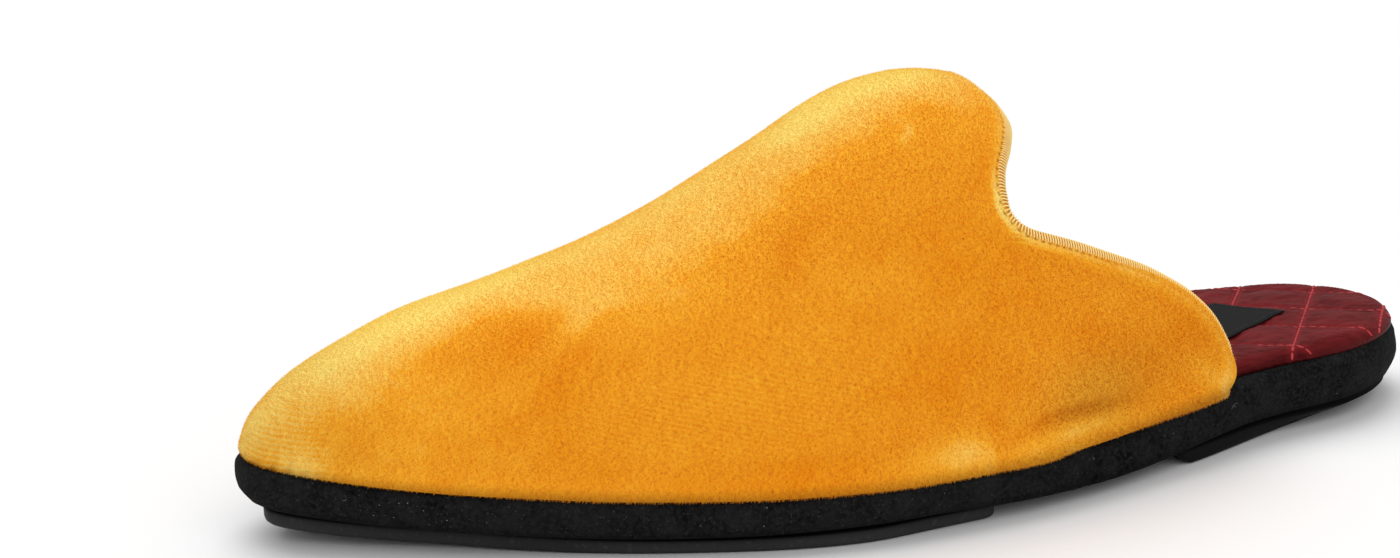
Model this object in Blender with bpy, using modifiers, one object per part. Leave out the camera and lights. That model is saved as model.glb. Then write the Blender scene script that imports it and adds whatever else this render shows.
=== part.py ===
"""A velvet mule slipper for the left foot, at its real size in metres.

The toe points along -Y, the outer side of the foot lies at +X, and the slipper
stands on the plane z = 0 with the origin under the middle of its footprint. Each
form is worked out from cross sections at stations along the foot, where station 0
is the tip of the toe and station 1 the back of the heel.
"""
import math

import bmesh
import bpy
import numpy as np

# Driving dimensions of the slipper.
LENGTH = 0.2925
BALL_WIDTH = 0.110
INSTEP_HEIGHT = 0.092
HEEL_HEIGHT = 0.018

# Thicknesses, clearances and small steps.
GAP = 0.0003
WALL = 0.0022
UPPER_INSET = 0.0018
UPPER_SEAT = 0.0004
TOE_BULGE = 0.0034
BULGE_HEIGHT = 0.026
BULGE_REACH = 0.20
CROWN = 1.17
OUTSOLE_INSET = 0.0058
FOREFOOT_THICKNESS = 0.0037
INSOLE_THICKNESS = 0.0035
LABEL_THICKNESS = 0.0005

# Where the two rubber units end and begin, as stations.
FOREFOOT_END = 0.513
HEEL_START = 0.701

# The label's size, its middle and its turn about the vertical.
LABEL_LENGTH = 0.045
LABEL_WIDTH = 0.020
LABEL_MIDDLE = (0.0043, 0.0851)
LABEL_TURN = math.radians(24.8)

# Plan outline of the midsole, edges as shares of BALL_WIDTH from the middle line.
OUTLINE = (
    # station, outer edge, inner edge
    (0.00, -0.148, -0.148),
    (0.03, -0.012, -0.315),
    (0.08, 0.090, -0.404),
    (0.15, 0.212, -0.473),
    (0.25, 0.363, -0.500),
    (0.33, 0.453, -0.487),
    (0.40, 0.495, -0.454),
    (0.50, 0.493, -0.385),
    (0.60, 0.447, -0.335),
    (0.70, 0.377, -0.326),
    (0.80, 0.303, -0.343),
    (0.90, 0.256, -0.310),
    (0.96, 0.162, -0.246),
    (1.00, -0.052, -0.052),
)

# Toe spring, arch and heel lift of the midsole, as shares of HEEL_HEIGHT.
SOLE_SECTIONS = (
    # station, underside, deck
    (0.00, 0.472, 1.056),
    (0.08, 0.322, 0.867),
    (0.20, 0.206, 0.739),
    (0.40, 0.189, 0.683),
    (0.60, 0.222, 0.722),
    (0.80, 0.233, 0.944),
    (1.00, 0.244, 1.000),
)

# Rounded side of the midsole, from its underside up to its deck.
MIDSOLE_SIDE = (
    # inset, share of the side's height
    (0.0062, 0.00),
    (0.0034, 0.08),
    (0.0013, 0.27),
    (0.0002, 0.52),
    (0.0000, 0.72),
    (0.0004, 0.90),
    (0.0015, 1.00),
)

# Side of the insole: inset from its own edge, and height over the deck.
INSOLE_SIDE = (
    # inset, height
    (0.0012, GAP),
    (0.0000, 0.0010),
    (0.0001, 0.0021),
    (0.0008, 0.0030),
    (0.0022, INSOLE_THICKNESS),
)

# The insole lies inside the upper and fills the deck behind it.
INSOLE_EDGE = (
    # station, inset from the midsole's outline
    (0.00, 0.0085),
    (0.04, 0.0068),
    (0.10, 0.0054),
    (0.18, 0.0050),
    (0.35, 0.0049),
    (0.60, 0.0049),
    (0.77, 0.0048),
    (0.81, 0.0032),
    (0.85, 0.0018),
    (0.91, 0.0012),
    (1.00, 0.0011),
)

# Ridge of the upper: shares of BALL_WIDTH across and of INSTEP_HEIGHT up.
INSTEP = (
    # station, across, height
    (0.00, -0.148, 0.211),
    (0.02, -0.155, 0.320),
    (0.05, -0.155, 0.405),
    (0.12, -0.124, 0.511),
    (0.22, -0.087, 0.595),
    (0.34, -0.051, 0.733),
    (0.46, -0.024, 0.957),
    (0.52, -0.014, 1.000),
    (0.58, -0.003, 0.978),
    (0.64, 0.004, 0.924),
    (0.79, 0.004, 0.859),
)

# Edge of the opening: 0 at the ridge, 1 at the foot of the upper, either side.
TOPLINE = (
    # share round the section, station
    (0.00, 0.588),
    (0.15, 0.585),
    (0.30, 0.578),
    (0.42, 0.566),
    (0.52, 0.556),
    (0.57, 0.596),
    (0.62, 0.665),
    (0.75, 0.727),
    (0.88, 0.754),
    (0.96, 0.760),
    (1.00, 0.761),
)


def column(table, index):
    """One column of a table as an array."""
    return np.array([row[index] for row in table])


def smooth(table, index, value):
    """Read a column at any value of the first column, by a smooth curve."""
    knots = column(table, 0)
    return curve_through(knots, column(table, index), value)


def curve_through(knots, heights, value):
    """Cubic pieces through the points, with slopes shared between neighbours."""
    value = np.clip(value, knots[0], knots[-1])
    span = np.diff(knots)
    rise = np.diff(heights) / span
    slope = np.empty(len(knots))
    slope[1:-1] = (rise[:-1] * span[1:] + rise[1:] * span[:-1]) / (span[:-1] + span[1:])
    slope[0] = 1.5 * rise[0] - 0.5 * slope[1]
    slope[-1] = 1.5 * rise[-1] - 0.5 * slope[-2]
    i = np.clip(np.searchsorted(knots, value, side="right") - 1, 0, len(span) - 1)
    s = (value - knots[i]) / span[i]
    ahead = s * s * (3.0 - 2.0 * s)
    return (heights[i] * (1.0 - ahead) + heights[i + 1] * ahead
            + span[i] * s * (1.0 - s) * ((1.0 - s) * slope[i] - s * slope[i + 1]))


def turn_of(station):
    """Angle that spaces stations closely at toe and heel, where the outline turns."""
    return np.arccos(np.clip(1.0 - 2.0 * np.asarray(station, float), -1.0, 1.0))


def outline(station, side, inset=0.0):
    """Point of the outline on the outer (1) or inner (-1) side, moved inwards."""
    turns = turn_of(column(OUTLINE, 0))
    edges = column(OUTLINE, 1 if side > 0 else 2) * BALL_WIDTH

    def at(turn):
        turn = np.clip(turn, 0.0, math.pi)
        return curve_through(turns, edges, turn), LENGTH * (0.5 - 0.5 * np.cos(turn))

    step = 0.001
    turn = turn_of(station)
    x, y = at(turn)
    x_before, y_before = at(turn - step)
    x_after, y_after = at(turn + step)
    dx = x_after - x_before
    dy = y_after - y_before
    length = np.hypot(dx, dy)
    x_in = x - inset * side * dy / length
    y_in = y + inset * side * dx / length
    return x_in, y_in - LENGTH / 2.0


def underside(y):
    """Height of the midsole's underside over the floor."""
    return smooth(SOLE_SECTIONS, 1, y / LENGTH + 0.5) * HEEL_HEIGHT


def deck(y):
    """Height of the midsole's deck over the floor."""
    return smooth(SOLE_SECTIONS, 2, y / LENGTH + 0.5) * HEEL_HEIGHT


def stations(first, last, count):
    """Stations between two others, closest where the outline turns most."""
    turns = np.linspace(turn_of(first), turn_of(last), count)
    return 0.5 - 0.5 * np.cos(turns)


def ring(along, inset, height):
    """Ring of points round the foot at one inset and one height function."""
    sides = []
    for side in (1, -1):
        x, y = outline(along, side, inset)
        sides.append(np.stack([x, y, height(y)], axis=1))
    return np.concatenate([sides[0], sides[1][::-1]])


def make_material(name, color, roughness):
    """Principled material with the piece's plain colour."""
    material = bpy.data.materials.new(name)
    material.use_nodes = True
    shader = material.node_tree.nodes["Principled BSDF"]
    shader.inputs["Base Color"].default_value = (*color, 1.0)
    shader.inputs["Roughness"].default_value = roughness
    material.diffuse_color = (*color, 1.0)
    return material


def add_object(name, bm, material, sharp_angle):
    """Finish a mesh, shade it and put it in the slipper's collection."""
    mesh = bpy.data.meshes.new(name)
    bm.to_mesh(mesh)
    bm.free()
    mesh.materials.append(material)
    mesh.shade_smooth()
    mesh.set_sharp_from_angle(angle=math.radians(sharp_angle))
    piece = bpy.data.objects.new(name, mesh)
    collection.objects.link(piece)
    return piece


def loft(name, rings, material):
    """Solid through rings of paired points, closed across at top and bottom."""
    bm = bmesh.new()
    rows = [[bm.verts.new(point) for point in points] for points in rings]
    count = len(rows[0])
    for lower, upper_row in zip(rows, rows[1:]):
        for i in range(count):
            j = (i + 1) % count
            bm.faces.new((lower[i], lower[j], upper_row[j], upper_row[i]))
    bottom = rows[0]
    top = rows[-1]
    for i in range(count // 2 - 1):
        bm.faces.new((bottom[-1 - i], bottom[-2 - i], bottom[i + 1], bottom[i]))
        bm.faces.new((top[i], top[i + 1], top[-2 - i], top[-1 - i]))
    bmesh.ops.remove_doubles(bm, verts=bm.verts, dist=0.00001)
    return add_object(name, bm, material, 40)


def upper_point(station, share):
    """Outer surface of the upper; share runs from -1 inside to 1 outside the foot."""
    outer_x, outer_y = outline(station, 1, UPPER_INSET)
    inner_x, inner_y = outline(station, -1, UPPER_INSET)
    foot_x = np.where(share >= 0, outer_x, inner_x)
    foot_y = np.where(share >= 0, outer_y, inner_y)
    foot_z = deck(foot_y) + UPPER_SEAT
    turns = turn_of(column(INSTEP, 0))
    turn = turn_of(station)
    ridge_x = curve_through(turns, column(INSTEP, 1), turn) * BALL_WIDTH
    ridge_z = curve_through(turns, column(INSTEP, 2), turn) * INSTEP_HEIGHT
    toe_start = UPPER_INSET * np.clip(1.0 - station / 0.02, 0.0, 1.0)
    ridge_y = LENGTH * (station - 0.5) + toe_start
    angle = np.abs(share) * math.pi / 2.0
    out = np.sin(angle)
    up = np.cos(angle) ** CROWN
    x = ridge_x + (foot_x - ridge_x) * out
    y = ridge_y + (foot_y - ridge_y) * out
    z = foot_z + np.maximum(ridge_z - foot_z, 0.0) * up
    raised = np.clip((z - foot_z) / BULGE_HEIGHT, 0.0, 1.0)
    fade = np.clip(1.0 - station / BULGE_REACH, 0.0, 1.0) ** 2
    y = y - TOE_BULGE * fade * np.sin(math.pi * raised ** 0.7)
    return np.stack([x, y, z], axis=-1)


def make_upper(material):
    """Vamp from the tip of the toe to its topline, as one lined wall."""
    columns = 49
    rows = 38
    spread = np.linspace(-1.0, 1.0, columns)
    share = np.sign(spread) * (1.0 - (1.0 - np.abs(spread)) ** 1.3)
    end = smooth(TOPLINE, 1, np.abs(share))
    growth = np.linspace(0.0, 1.0, rows) ** 1.5
    grid = upper_point(growth[:, None] * end, np.broadcast_to(share, (rows, columns)))
    bm = bmesh.new()
    verts = [[bm.verts.new(point) for point in row] for row in grid]
    for near, far in zip(verts, verts[1:]):
        for i in range(columns - 1):
            bm.faces.new((near[i], near[i + 1], far[i + 1], far[i]))
    bmesh.ops.remove_doubles(bm, verts=bm.verts, dist=0.00001)
    piece = add_object("upper", bm, material, 60)
    wall = piece.modifiers.new("Wall", "SOLIDIFY")
    wall.thickness = WALL
    wall.offset = -1.0
    return piece


def make_midsole(material):
    """Core of the sole in its wrapping, with a rounded side and a flat deck."""
    along = stations(0.0, 1.0, 41)
    rings = []
    for inset, share in MIDSOLE_SIDE:
        rings.append(ring(along, inset, lambda y, s=share: underside(y) * (1 - s) + deck(y) * s))
    return loft("midsole", rings, material)


def make_outsole(name, first, last, count, floor, material):
    """Thin rubber unit between the floor and the midsole's underside."""
    along = stations(first, last, count)

    def top(y):
        return underside(y) - GAP

    rings = [
        ring(along, OUTSOLE_INSET + 0.0008, floor),
        ring(along, OUTSOLE_INSET, lambda y: floor(y) + 0.0008),
        ring(along, OUTSOLE_INSET, top),
    ]
    return loft(name, rings, material)


def make_insole(material):
    """Padded sock on the deck, narrower inside the upper than behind it."""
    along = stations(0.0, 1.0, 41)
    edge = smooth(INSOLE_EDGE, 1, along)
    rings = [ring(along, edge + inset, lambda y, h=height: deck(y) + h)
             for inset, height in INSOLE_SIDE]
    return loft("insole", rings, material)


def make_label(material):
    """Woven label lying on the insole, askew to the foot."""
    bm = bmesh.new()
    bmesh.ops.create_grid(bm, x_segments=2, y_segments=6, size=0.5)
    cos_turn = math.cos(LABEL_TURN)
    sin_turn = math.sin(LABEL_TURN)
    for vert in bm.verts:
        across = vert.co.x * LABEL_WIDTH
        along = vert.co.y * LABEL_LENGTH
        vert.co.x = LABEL_MIDDLE[0] + across * cos_turn - along * sin_turn
        vert.co.y = LABEL_MIDDLE[1] + across * sin_turn + along * cos_turn
        vert.co.z = deck(vert.co.y) + INSOLE_THICKNESS + GAP
    piece = add_object("label", bm, material, 40)
    wall = piece.modifiers.new("Cloth", "SOLIDIFY")
    wall.thickness = LABEL_THICKNESS
    wall.offset = 1.0
    return piece


for old in list(bpy.data.objects):
    bpy.data.objects.remove(old, do_unlink=True)

collection = bpy.data.collections.new("velvet_mule_slipper")
bpy.context.scene.collection.children.link(collection)

rubber = make_material("black rubber", (0.018, 0.018, 0.020), 0.45)
heel_rubber = make_material("heel rubber", (0.018, 0.018, 0.020), 0.45)
suede = make_material("black suede", (0.012, 0.012, 0.013), 0.95)
velvet = make_material("gold velvet", (0.80, 0.31, 0.02), 0.90)
satin = make_material("burgundy satin", (0.17, 0.020, 0.026), 0.50)
woven = make_material("black woven label", (0.015, 0.015, 0.016), 0.80)

make_outsole("outsole_forefoot", 0.0, FOREFOOT_END, 25,
             lambda y: np.maximum(underside(y) - FOREFOOT_THICKNESS, 0.0), rubber)
make_outsole("outsole_heel", HEEL_START, 1.0, 19, np.zeros_like, heel_rubber)
make_midsole(suede)
make_upper(velvet)
make_insole(satin)
make_label(woven)
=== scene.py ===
# %% [markdown]
# # A velvet mule slipper, left foot
#
# A mule slipper is a flat sole with a closed vamp and nothing behind the heel. This
# lesson dresses the plain solids of one slipper: a short-pile velvet upper with an
# overlocked edge, a midsole wrapped in black suede, two thin rubber units, a quilted
# satin insole and a bare woven label.
#
# The solids are loaded first. Every later size is read from them or from a short
# table of cross sections, so the cloth always lies where the solids are.

# %% Load the solids
import math

import bmesh
import bpy
import numpy as np
from mathutils import Matrix, Vector
from mathutils.bvhtree import BVHTree
from mathutils.kdtree import KDTree


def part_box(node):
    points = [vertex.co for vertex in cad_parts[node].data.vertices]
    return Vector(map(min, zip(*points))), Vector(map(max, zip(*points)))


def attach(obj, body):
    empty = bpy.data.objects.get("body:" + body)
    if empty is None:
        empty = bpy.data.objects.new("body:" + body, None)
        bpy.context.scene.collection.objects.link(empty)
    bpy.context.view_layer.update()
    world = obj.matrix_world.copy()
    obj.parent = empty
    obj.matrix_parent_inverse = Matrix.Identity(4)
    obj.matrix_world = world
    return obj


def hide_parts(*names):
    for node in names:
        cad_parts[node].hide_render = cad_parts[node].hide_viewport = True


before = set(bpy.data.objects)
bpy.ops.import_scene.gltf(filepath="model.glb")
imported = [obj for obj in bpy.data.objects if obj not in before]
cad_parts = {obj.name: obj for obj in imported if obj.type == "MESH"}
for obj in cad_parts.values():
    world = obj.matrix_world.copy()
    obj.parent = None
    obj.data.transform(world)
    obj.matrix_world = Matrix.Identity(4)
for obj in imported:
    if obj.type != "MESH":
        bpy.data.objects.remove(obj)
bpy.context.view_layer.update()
BODY = "root"
MM = 0.001
print("solids:", ", ".join(sorted(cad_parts)))

# %% [markdown]
# ## The last
#
# A shoemaker starts from a last, the wooden form of the foot. Here the last is a set
# of short tables: the plan outline, the heights of the sole, the ridge of the
# instep and the edge of the opening. A smooth curve through each column gives the
# values in between, so any piece can be drawn as finely as its cloth needs.

# %% Sizes of the last and its tables
sole_low, sole_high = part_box("midsole")
LENGTH = sole_high[1] - sole_low[1]
BALL_WIDTH = sole_high[0] - sole_low[0]
INSTEP_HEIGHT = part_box("upper")[1][2]
HEEL_HEIGHT = 18.0 * MM
UPPER_INSET = 1.8 * MM
UPPER_SEAT = 0.4 * MM
TOE_BULGE = 3.4 * MM
BULGE_HEIGHT = 26.0 * MM
BULGE_REACH = 0.20
CROWN = 1.17

OUTLINE = (
    # station, outer edge, inner edge
    (0.00, -0.148, -0.148),
    (0.03, -0.012, -0.315),
    (0.08, 0.090, -0.404),
    (0.15, 0.212, -0.473),
    (0.25, 0.363, -0.500),
    (0.33, 0.453, -0.487),
    (0.40, 0.495, -0.454),
    (0.50, 0.493, -0.385),
    (0.60, 0.447, -0.335),
    (0.70, 0.377, -0.326),
    (0.80, 0.303, -0.343),
    (0.90, 0.256, -0.310),
    (0.96, 0.162, -0.246),
    (1.00, -0.052, -0.052),
)
SOLE_SECTIONS = (
    # station, underside, deck
    (0.00, 0.472, 1.056),
    (0.08, 0.322, 0.867),
    (0.20, 0.206, 0.739),
    (0.40, 0.189, 0.683),
    (0.60, 0.222, 0.722),
    (0.80, 0.233, 0.944),
    (1.00, 0.244, 1.000),
)
INSTEP = (
    # station, across, height
    (0.00, -0.148, 0.211),
    (0.02, -0.155, 0.320),
    (0.05, -0.155, 0.405),
    (0.12, -0.124, 0.511),
    (0.22, -0.087, 0.595),
    (0.34, -0.051, 0.733),
    (0.46, -0.024, 0.957),
    (0.52, -0.014, 1.000),
    (0.58, -0.003, 0.978),
    (0.64, 0.004, 0.924),
    (0.79, 0.004, 0.859),
)
TOPLINE = (
    # share round the section, station
    (0.00, 0.588),
    (0.10, 0.5875),
    (0.20, 0.5885),
    (0.30, 0.583),
    (0.36, 0.5725),
    (0.42, 0.5595),
    (0.47, 0.5545),
    (0.515, 0.556),
    (0.545, 0.569),
    (0.58, 0.6195),
    (0.62, 0.663),
    (0.68, 0.703),
    (0.76, 0.7355),
    (0.84, 0.753),
    (0.90, 0.760),
    (0.95, 0.757),
    (1.00, 0.745),
)
print(f"length {LENGTH / MM:.1f} mm, ball {BALL_WIDTH / MM:.1f} mm")


# %% Read the tables as smooth curves
def column(table, index):
    """One column of a table as an array."""
    return np.array([row[index] for row in table])


def fraction(value):
    """A number, kept between 0 and 1."""
    return np.clip(value, 0.0, 1.0)


def curve_through(knots, heights, value):
    """Cubic pieces through the points, with slopes shared between neighbours."""
    value = np.clip(value, knots[0], knots[-1])
    span = np.diff(knots)
    rise = np.diff(heights) / span
    slope = np.empty(len(knots))
    slope[1:-1] = (rise[:-1] * span[1:] + rise[1:] * span[:-1]) / (span[:-1] + span[1:])
    slope[0] = 1.5 * rise[0] - 0.5 * slope[1]
    slope[-1] = 1.5 * rise[-1] - 0.5 * slope[-2]
    i = np.clip(np.searchsorted(knots, value, side="right") - 1, 0, len(span) - 1)
    s = (value - knots[i]) / span[i]
    ahead = s * s * (3.0 - 2.0 * s)
    return (heights[i] * (1.0 - ahead) + heights[i + 1] * ahead
            + span[i] * s * (1.0 - s) * ((1.0 - s) * slope[i] - s * slope[i + 1]))


def smooth(table, index, value):
    """Read a column at any value of the first column."""
    return curve_through(column(table, 0), column(table, index), value)


def turn_of(station):
    """Angle that spaces stations closely at toe and heel."""
    return np.arccos(np.clip(1.0 - 2.0 * np.asarray(station, float), -1.0, 1.0))


def outline(station, side, inset=0.0):
    """Point of the sole's outline on the outer (1) or inner (-1) side, moved in."""
    turns = turn_of(column(OUTLINE, 0))
    edges = column(OUTLINE, 1 if side > 0 else 2) * BALL_WIDTH

    def at(turn):
        turn = np.clip(turn, 0.0, math.pi)
        return curve_through(turns, edges, turn), LENGTH * (0.5 - 0.5 * np.cos(turn))

    step = 0.001
    turn = turn_of(station)
    x, y = at(turn)
    x_before, y_before = at(turn - step)
    x_after, y_after = at(turn + step)
    dx = x_after - x_before
    dy = y_after - y_before
    length = np.hypot(dx, dy)
    return x - inset * side * dy / length, y + inset * side * dx / length - LENGTH / 2.0


def underside(y):
    """Height of the midsole's underside."""
    return smooth(SOLE_SECTIONS, 1, y / LENGTH + 0.5) * HEEL_HEIGHT


def deck(y):
    """Height of the midsole's deck."""
    return smooth(SOLE_SECTIONS, 2, y / LENGTH + 0.5) * HEEL_HEIGHT


def stations(first, last, count):
    """Stations between two others, closest at toe and heel."""
    return 0.5 - 0.5 * np.cos(np.linspace(turn_of(first), turn_of(last), count))


def upper_point(station, share):
    """Outer surface of the upper; share runs from -1 inside to 1 outside the foot."""
    outer_x, outer_y = outline(station, 1, UPPER_INSET)
    inner_x, inner_y = outline(station, -1, UPPER_INSET)
    foot_x = np.where(share >= 0, outer_x, inner_x)
    foot_y = np.where(share >= 0, outer_y, inner_y)
    foot_z = deck(foot_y) + UPPER_SEAT
    turns = turn_of(column(INSTEP, 0))
    turn = turn_of(station)
    ridge_x = curve_through(turns, column(INSTEP, 1), turn) * BALL_WIDTH
    ridge_z = curve_through(turns, column(INSTEP, 2), turn) * INSTEP_HEIGHT
    toe_start = UPPER_INSET * fraction(1.0 - station / 0.02)
    ridge_y = LENGTH * (station - 0.5) + toe_start
    angle = np.abs(share) * math.pi / 2.0
    out = np.sin(angle)
    up = np.cos(angle) ** CROWN
    x = ridge_x + (foot_x - ridge_x) * out
    y = ridge_y + (foot_y - ridge_y) * out
    z = foot_z + np.maximum(ridge_z - foot_z, 0.0) * up
    raised = fraction((z - foot_z) / BULGE_HEIGHT)
    fade = fraction(1.0 - station / BULGE_REACH) ** 2
    y = y - TOE_BULGE * fade * np.sin(math.pi * raised ** 0.7)
    return np.stack([x, y, z], axis=-1)


# %% [markdown]
# ## Small tools
#
# A node tree is easiest to read as a sum. The class Wire wraps one output of a node
# and gives it Python's operators, so `1 - mask` adds the Math node by itself. The
# class Tree adds every other node. Geometry trees and material trees are built with
# the same two classes.

# %% Node trees as expressions
class Wire:
    """One output socket that sums and products can be written with."""

    def __init__(self, tree, socket):
        self.tree = tree
        self.socket = socket

    def __add__(self, other):
        return self.tree.maths("ADD", self, other)

    def __radd__(self, other):
        return self.tree.maths("ADD", other, self)

    def __sub__(self, other):
        return self.tree.maths("SUBTRACT", self, other)

    def __rsub__(self, other):
        return self.tree.maths("SUBTRACT", other, self)

    def __mul__(self, other):
        return self.tree.maths("MULTIPLY", self, other)

    def __rmul__(self, other):
        return self.tree.maths("MULTIPLY", other, self)

    def __truediv__(self, other):
        return self.tree.maths("DIVIDE", self, other)

    def __pow__(self, other):
        return self.tree.maths("POWER", self, other)


class Tree:
    """A node tree, with methods that add nodes to it."""

    def __init__(self, node_tree):
        self.nodes = node_tree.nodes
        self.links = node_tree.links

    def node(self, kind, settings=None, inputs=None, output=0):
        """Add a node: its settings first, then the values or wires of its sockets."""
        node = self.nodes.new(kind)
        for name, value in (settings or {}).items():
            if name == "stops":
                self.set_stops(node.color_ramp, value)
            else:
                setattr(node, name, value)
        for key, value in (inputs or {}).items():
            self.feed(node.inputs[key], value)
        return Wire(self, node.outputs[output]) if node.outputs else node

    def set_stops(self, ramp, stops):
        """Give a colour ramp its stops, as (position, grey value) pairs."""
        while len(ramp.elements) < len(stops):
            ramp.elements.new(1.0)
        for element, (position, value) in zip(ramp.elements, stops):
            element.position = position
            element.color = (value, value, value, 1.0)

    def feed(self, socket, value):
        """Link a wire to a socket, or set the socket's own value."""
        if isinstance(value, Wire):
            self.links.new(value.socket, socket)
        elif isinstance(value, tuple) and len(value) == 3 and socket.type == "RGBA":
            socket.default_value = (*value, 1.0)
        else:
            socket.default_value = value

    def maths(self, operation, a, b=0.0, clamp=False):
        """A Math node on two numbers or wires."""
        settings = {"operation": operation, "use_clamp": clamp}
        return self.node("ShaderNodeMath", settings, {0: a, 1: b})

    def outputs(self, kind, settings=None, inputs=None):
        """Add a node and give back all its outputs."""
        node = self.node(kind, settings, inputs).socket.node
        return [Wire(self, socket) for socket in node.outputs]

    def parts(self, vector):
        """The x, y and z of a vector."""
        return self.outputs("ShaderNodeSeparateXYZ", None, {0: vector})

    def vector(self, x, y, z):
        """A vector from three numbers or wires."""
        return self.node("ShaderNodeCombineXYZ", None, {"X": x, "Y": y, "Z": z})


class Finish(Tree):
    """A material, with the few patterns that cloth and rubber are made of."""

    def __init__(self, name):
        self.material = bpy.data.materials.new(name)
        self.material.use_nodes = True
        super().__init__(self.material.node_tree)
        self.nodes.clear()
        self.place = self.node("ShaderNodeTexCoord", output="Object")

    def noise(self, scale, detail=2.0, stretch=None, distortion=0.0, roughness=0.5):
        """Smooth noise on the piece's own coordinates, stretched if asked."""
        place = self.place
        if stretch:
            place = self.node("ShaderNodeMapping", None, {"Vector": place, "Scale": stretch})
        inputs = {"Vector": place, "Scale": scale, "Detail": detail,
                  "Distortion": distortion, "Roughness": roughness}
        return self.node("ShaderNodeTexNoise", None, inputs)

    def attribute(self, name):
        """A number that the piece's mesh carries at each of its points."""
        return self.node("ShaderNodeAttribute", {"attribute_name": name}, output="Fac")

    def ramp(self, value, *stops):
        """A grey ramp over a number, used as a soft threshold."""
        return self.node("ShaderNodeValToRGB", {"stops": stops}, {"Fac": value})

    def mix(self, factor, a, b):
        """A colour between two others."""
        inputs = {0: factor, 6: a, 7: b}
        return self.node("ShaderNodeMix", {"data_type": "RGBA"}, inputs, output=2)

    def bump(self, height, distance, strength=1.0, normal=None):
        """Relief from a height between 0 and 1, in metres."""
        inputs = {"Height": height, "Distance": distance, "Strength": strength}
        if normal:
            inputs["Normal"] = normal
        return self.node("ShaderNodeBump", None, inputs)

    def surface(self, color, rough, gloss=None, sheen=(), normal=None):
        """Principled surface; sheen is its weight, its roughness and, if any, its tint."""
        inputs = {"Base Color": color, "Roughness": rough}
        inputs.update(zip(("Sheen Weight", "Sheen Roughness", "Sheen Tint"), sheen))
        if gloss is not None:
            inputs["Specular IOR Level"] = gloss
        if normal:
            inputs["Normal"] = normal
        shader = self.node("ShaderNodeBsdfPrincipled", None, inputs)
        self.node("ShaderNodeOutputMaterial", None, {"Surface": shader})
        return self.material


# %% Meshes from grids
WELD_DISTANCE = 0.00001


def grid_faces(rows, columns, start=0):
    """Four-sided faces between the neighbours of a grid of points."""
    index = start + np.arange(rows * columns).reshape(rows, columns)
    faces = np.stack([index[:-1, :-1], index[:-1, 1:], index[1:, 1:], index[1:, :-1]], -1)
    return faces.reshape(-1, 4)


def tube_faces(rows, count):
    """Four-sided faces of a grid whose rows are closed rings."""
    index = np.arange(rows * count).reshape(rows, count)
    after = np.roll(index, -1, axis=1)
    return np.stack([index[:-1], after[:-1], after[1:], index[1:]], axis=-1).reshape(-1, 4)


def weld(piece, distance=WELD_DISTANCE, turn_out=False):
    """Join points that lie on each other, and turn the faces outwards if asked."""
    bm = bmesh.new()
    bm.from_mesh(piece.data)
    bmesh.ops.remove_doubles(bm, verts=bm.verts, dist=distance)
    if turn_out:
        bmesh.ops.recalc_face_normals(bm, faces=bm.faces)
    bm.to_mesh(piece.data)
    bm.free()


def add_object(name, data):
    """A new object in the scene."""
    made = bpy.data.objects.new(name, data)
    bpy.context.scene.collection.objects.link(made)
    return made


def add_mesh(name, points, faces, finish, weld_doubles=True):
    """Make a smooth mesh object from points and faces, all in metres."""
    mesh = bpy.data.meshes.new(name)
    if not isinstance(faces, list):
        faces = faces.tolist()
    mesh.from_pydata(np.asarray(points).reshape(-1, 3).tolist(), [], faces)
    mesh.materials.append(finish)
    piece = add_object(name, mesh)
    if weld_doubles:
        weld(piece)
    mesh.shade_smooth()
    return piece


def set_numbers(piece, numbers, kind="FLOAT", field="value"):
    """Store named numbers or vectors for each point of a piece's mesh."""
    for name, values in (numbers or {}).items():
        attribute = piece.data.attributes.new(name, kind, "POINT")
        attribute.data.foreach_set(field, np.asarray(values, float).ravel())


def apply_modifiers(piece):
    """Turn a piece and its modifiers into a plain mesh."""
    depsgraph = bpy.context.evaluated_depsgraph_get()
    mesh = bpy.data.meshes.new_from_object(piece.evaluated_get(depsgraph))
    old = piece.data
    piece.modifiers.clear()
    piece.data = mesh
    bpy.data.meshes.remove(old)


def thicken(piece, thickness, offset):
    """Give a sheet its thickness, inwards (-1) or outwards (1)."""
    wall = piece.modifiers.new("Cloth", "SOLIDIFY")
    wall.thickness = thickness
    wall.offset = offset
    apply_modifiers(piece)


def nearest_tree(points):
    """A tree that finds the nearest of some points."""
    tree = KDTree(len(points))
    for number, point in enumerate(points):
        tree.insert(point, number)
    tree.balance()
    return tree


def triangles(piece):
    """Number of triangles of a finished piece."""
    return sum(len(face.vertices) - 2 for face in piece.data.polygons)


def soft_bump(distance, reach):
    """1 at distance 0, fading smoothly to 0 at the reach and beyond."""
    near = fraction(1.0 - np.abs(distance) / reach)
    return near * near * (3.0 - 2.0 * near)


def crowded(spread, power):
    """Shares from -1 to 1 that lie closest together at both ends."""
    return np.sign(spread) * (1.0 - (1.0 - np.abs(spread)) ** power)


def turned_place(middle, turn, across, along):
    """Plan position of a place in a frame with its own middle and turn."""
    return (middle[0] + across * math.cos(turn) - along * math.sin(turn),
            middle[1] + across * math.sin(turn) + along * math.cos(turn))


# %% [markdown]
# ## Velvet
#
# Velvet is a woven ground with a short upright pile. Pile that leans towards the
# eye looks deep, and pile that leans away looks pale, so a brushed patch shows as a
# lighter or darker cloud with a soft edge. The colour here follows a number called
# nap, which the mesh carries, with clouds and grain of noise on top. The nap also
# carries painted light: a painted highlight along the ridge and on the fold over the
# waist, and painted shade in the crease above that fold. Sheen on the shader gives
# the pale rim that pile has where it is seen from the side. Fine rows of the woven
# ground show where the pile parts, and needle holes follow the edge.

# %% The velvet's finish
CLOUD_SCALE = 30.0
MOTTLE_SCALE = 120.0
GRAIN_SCALE = 1150.0
ROW_PITCH = 1.05
NEEDLE_PITCH = 1.9
NEEDLE_INSET = 2.3


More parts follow.
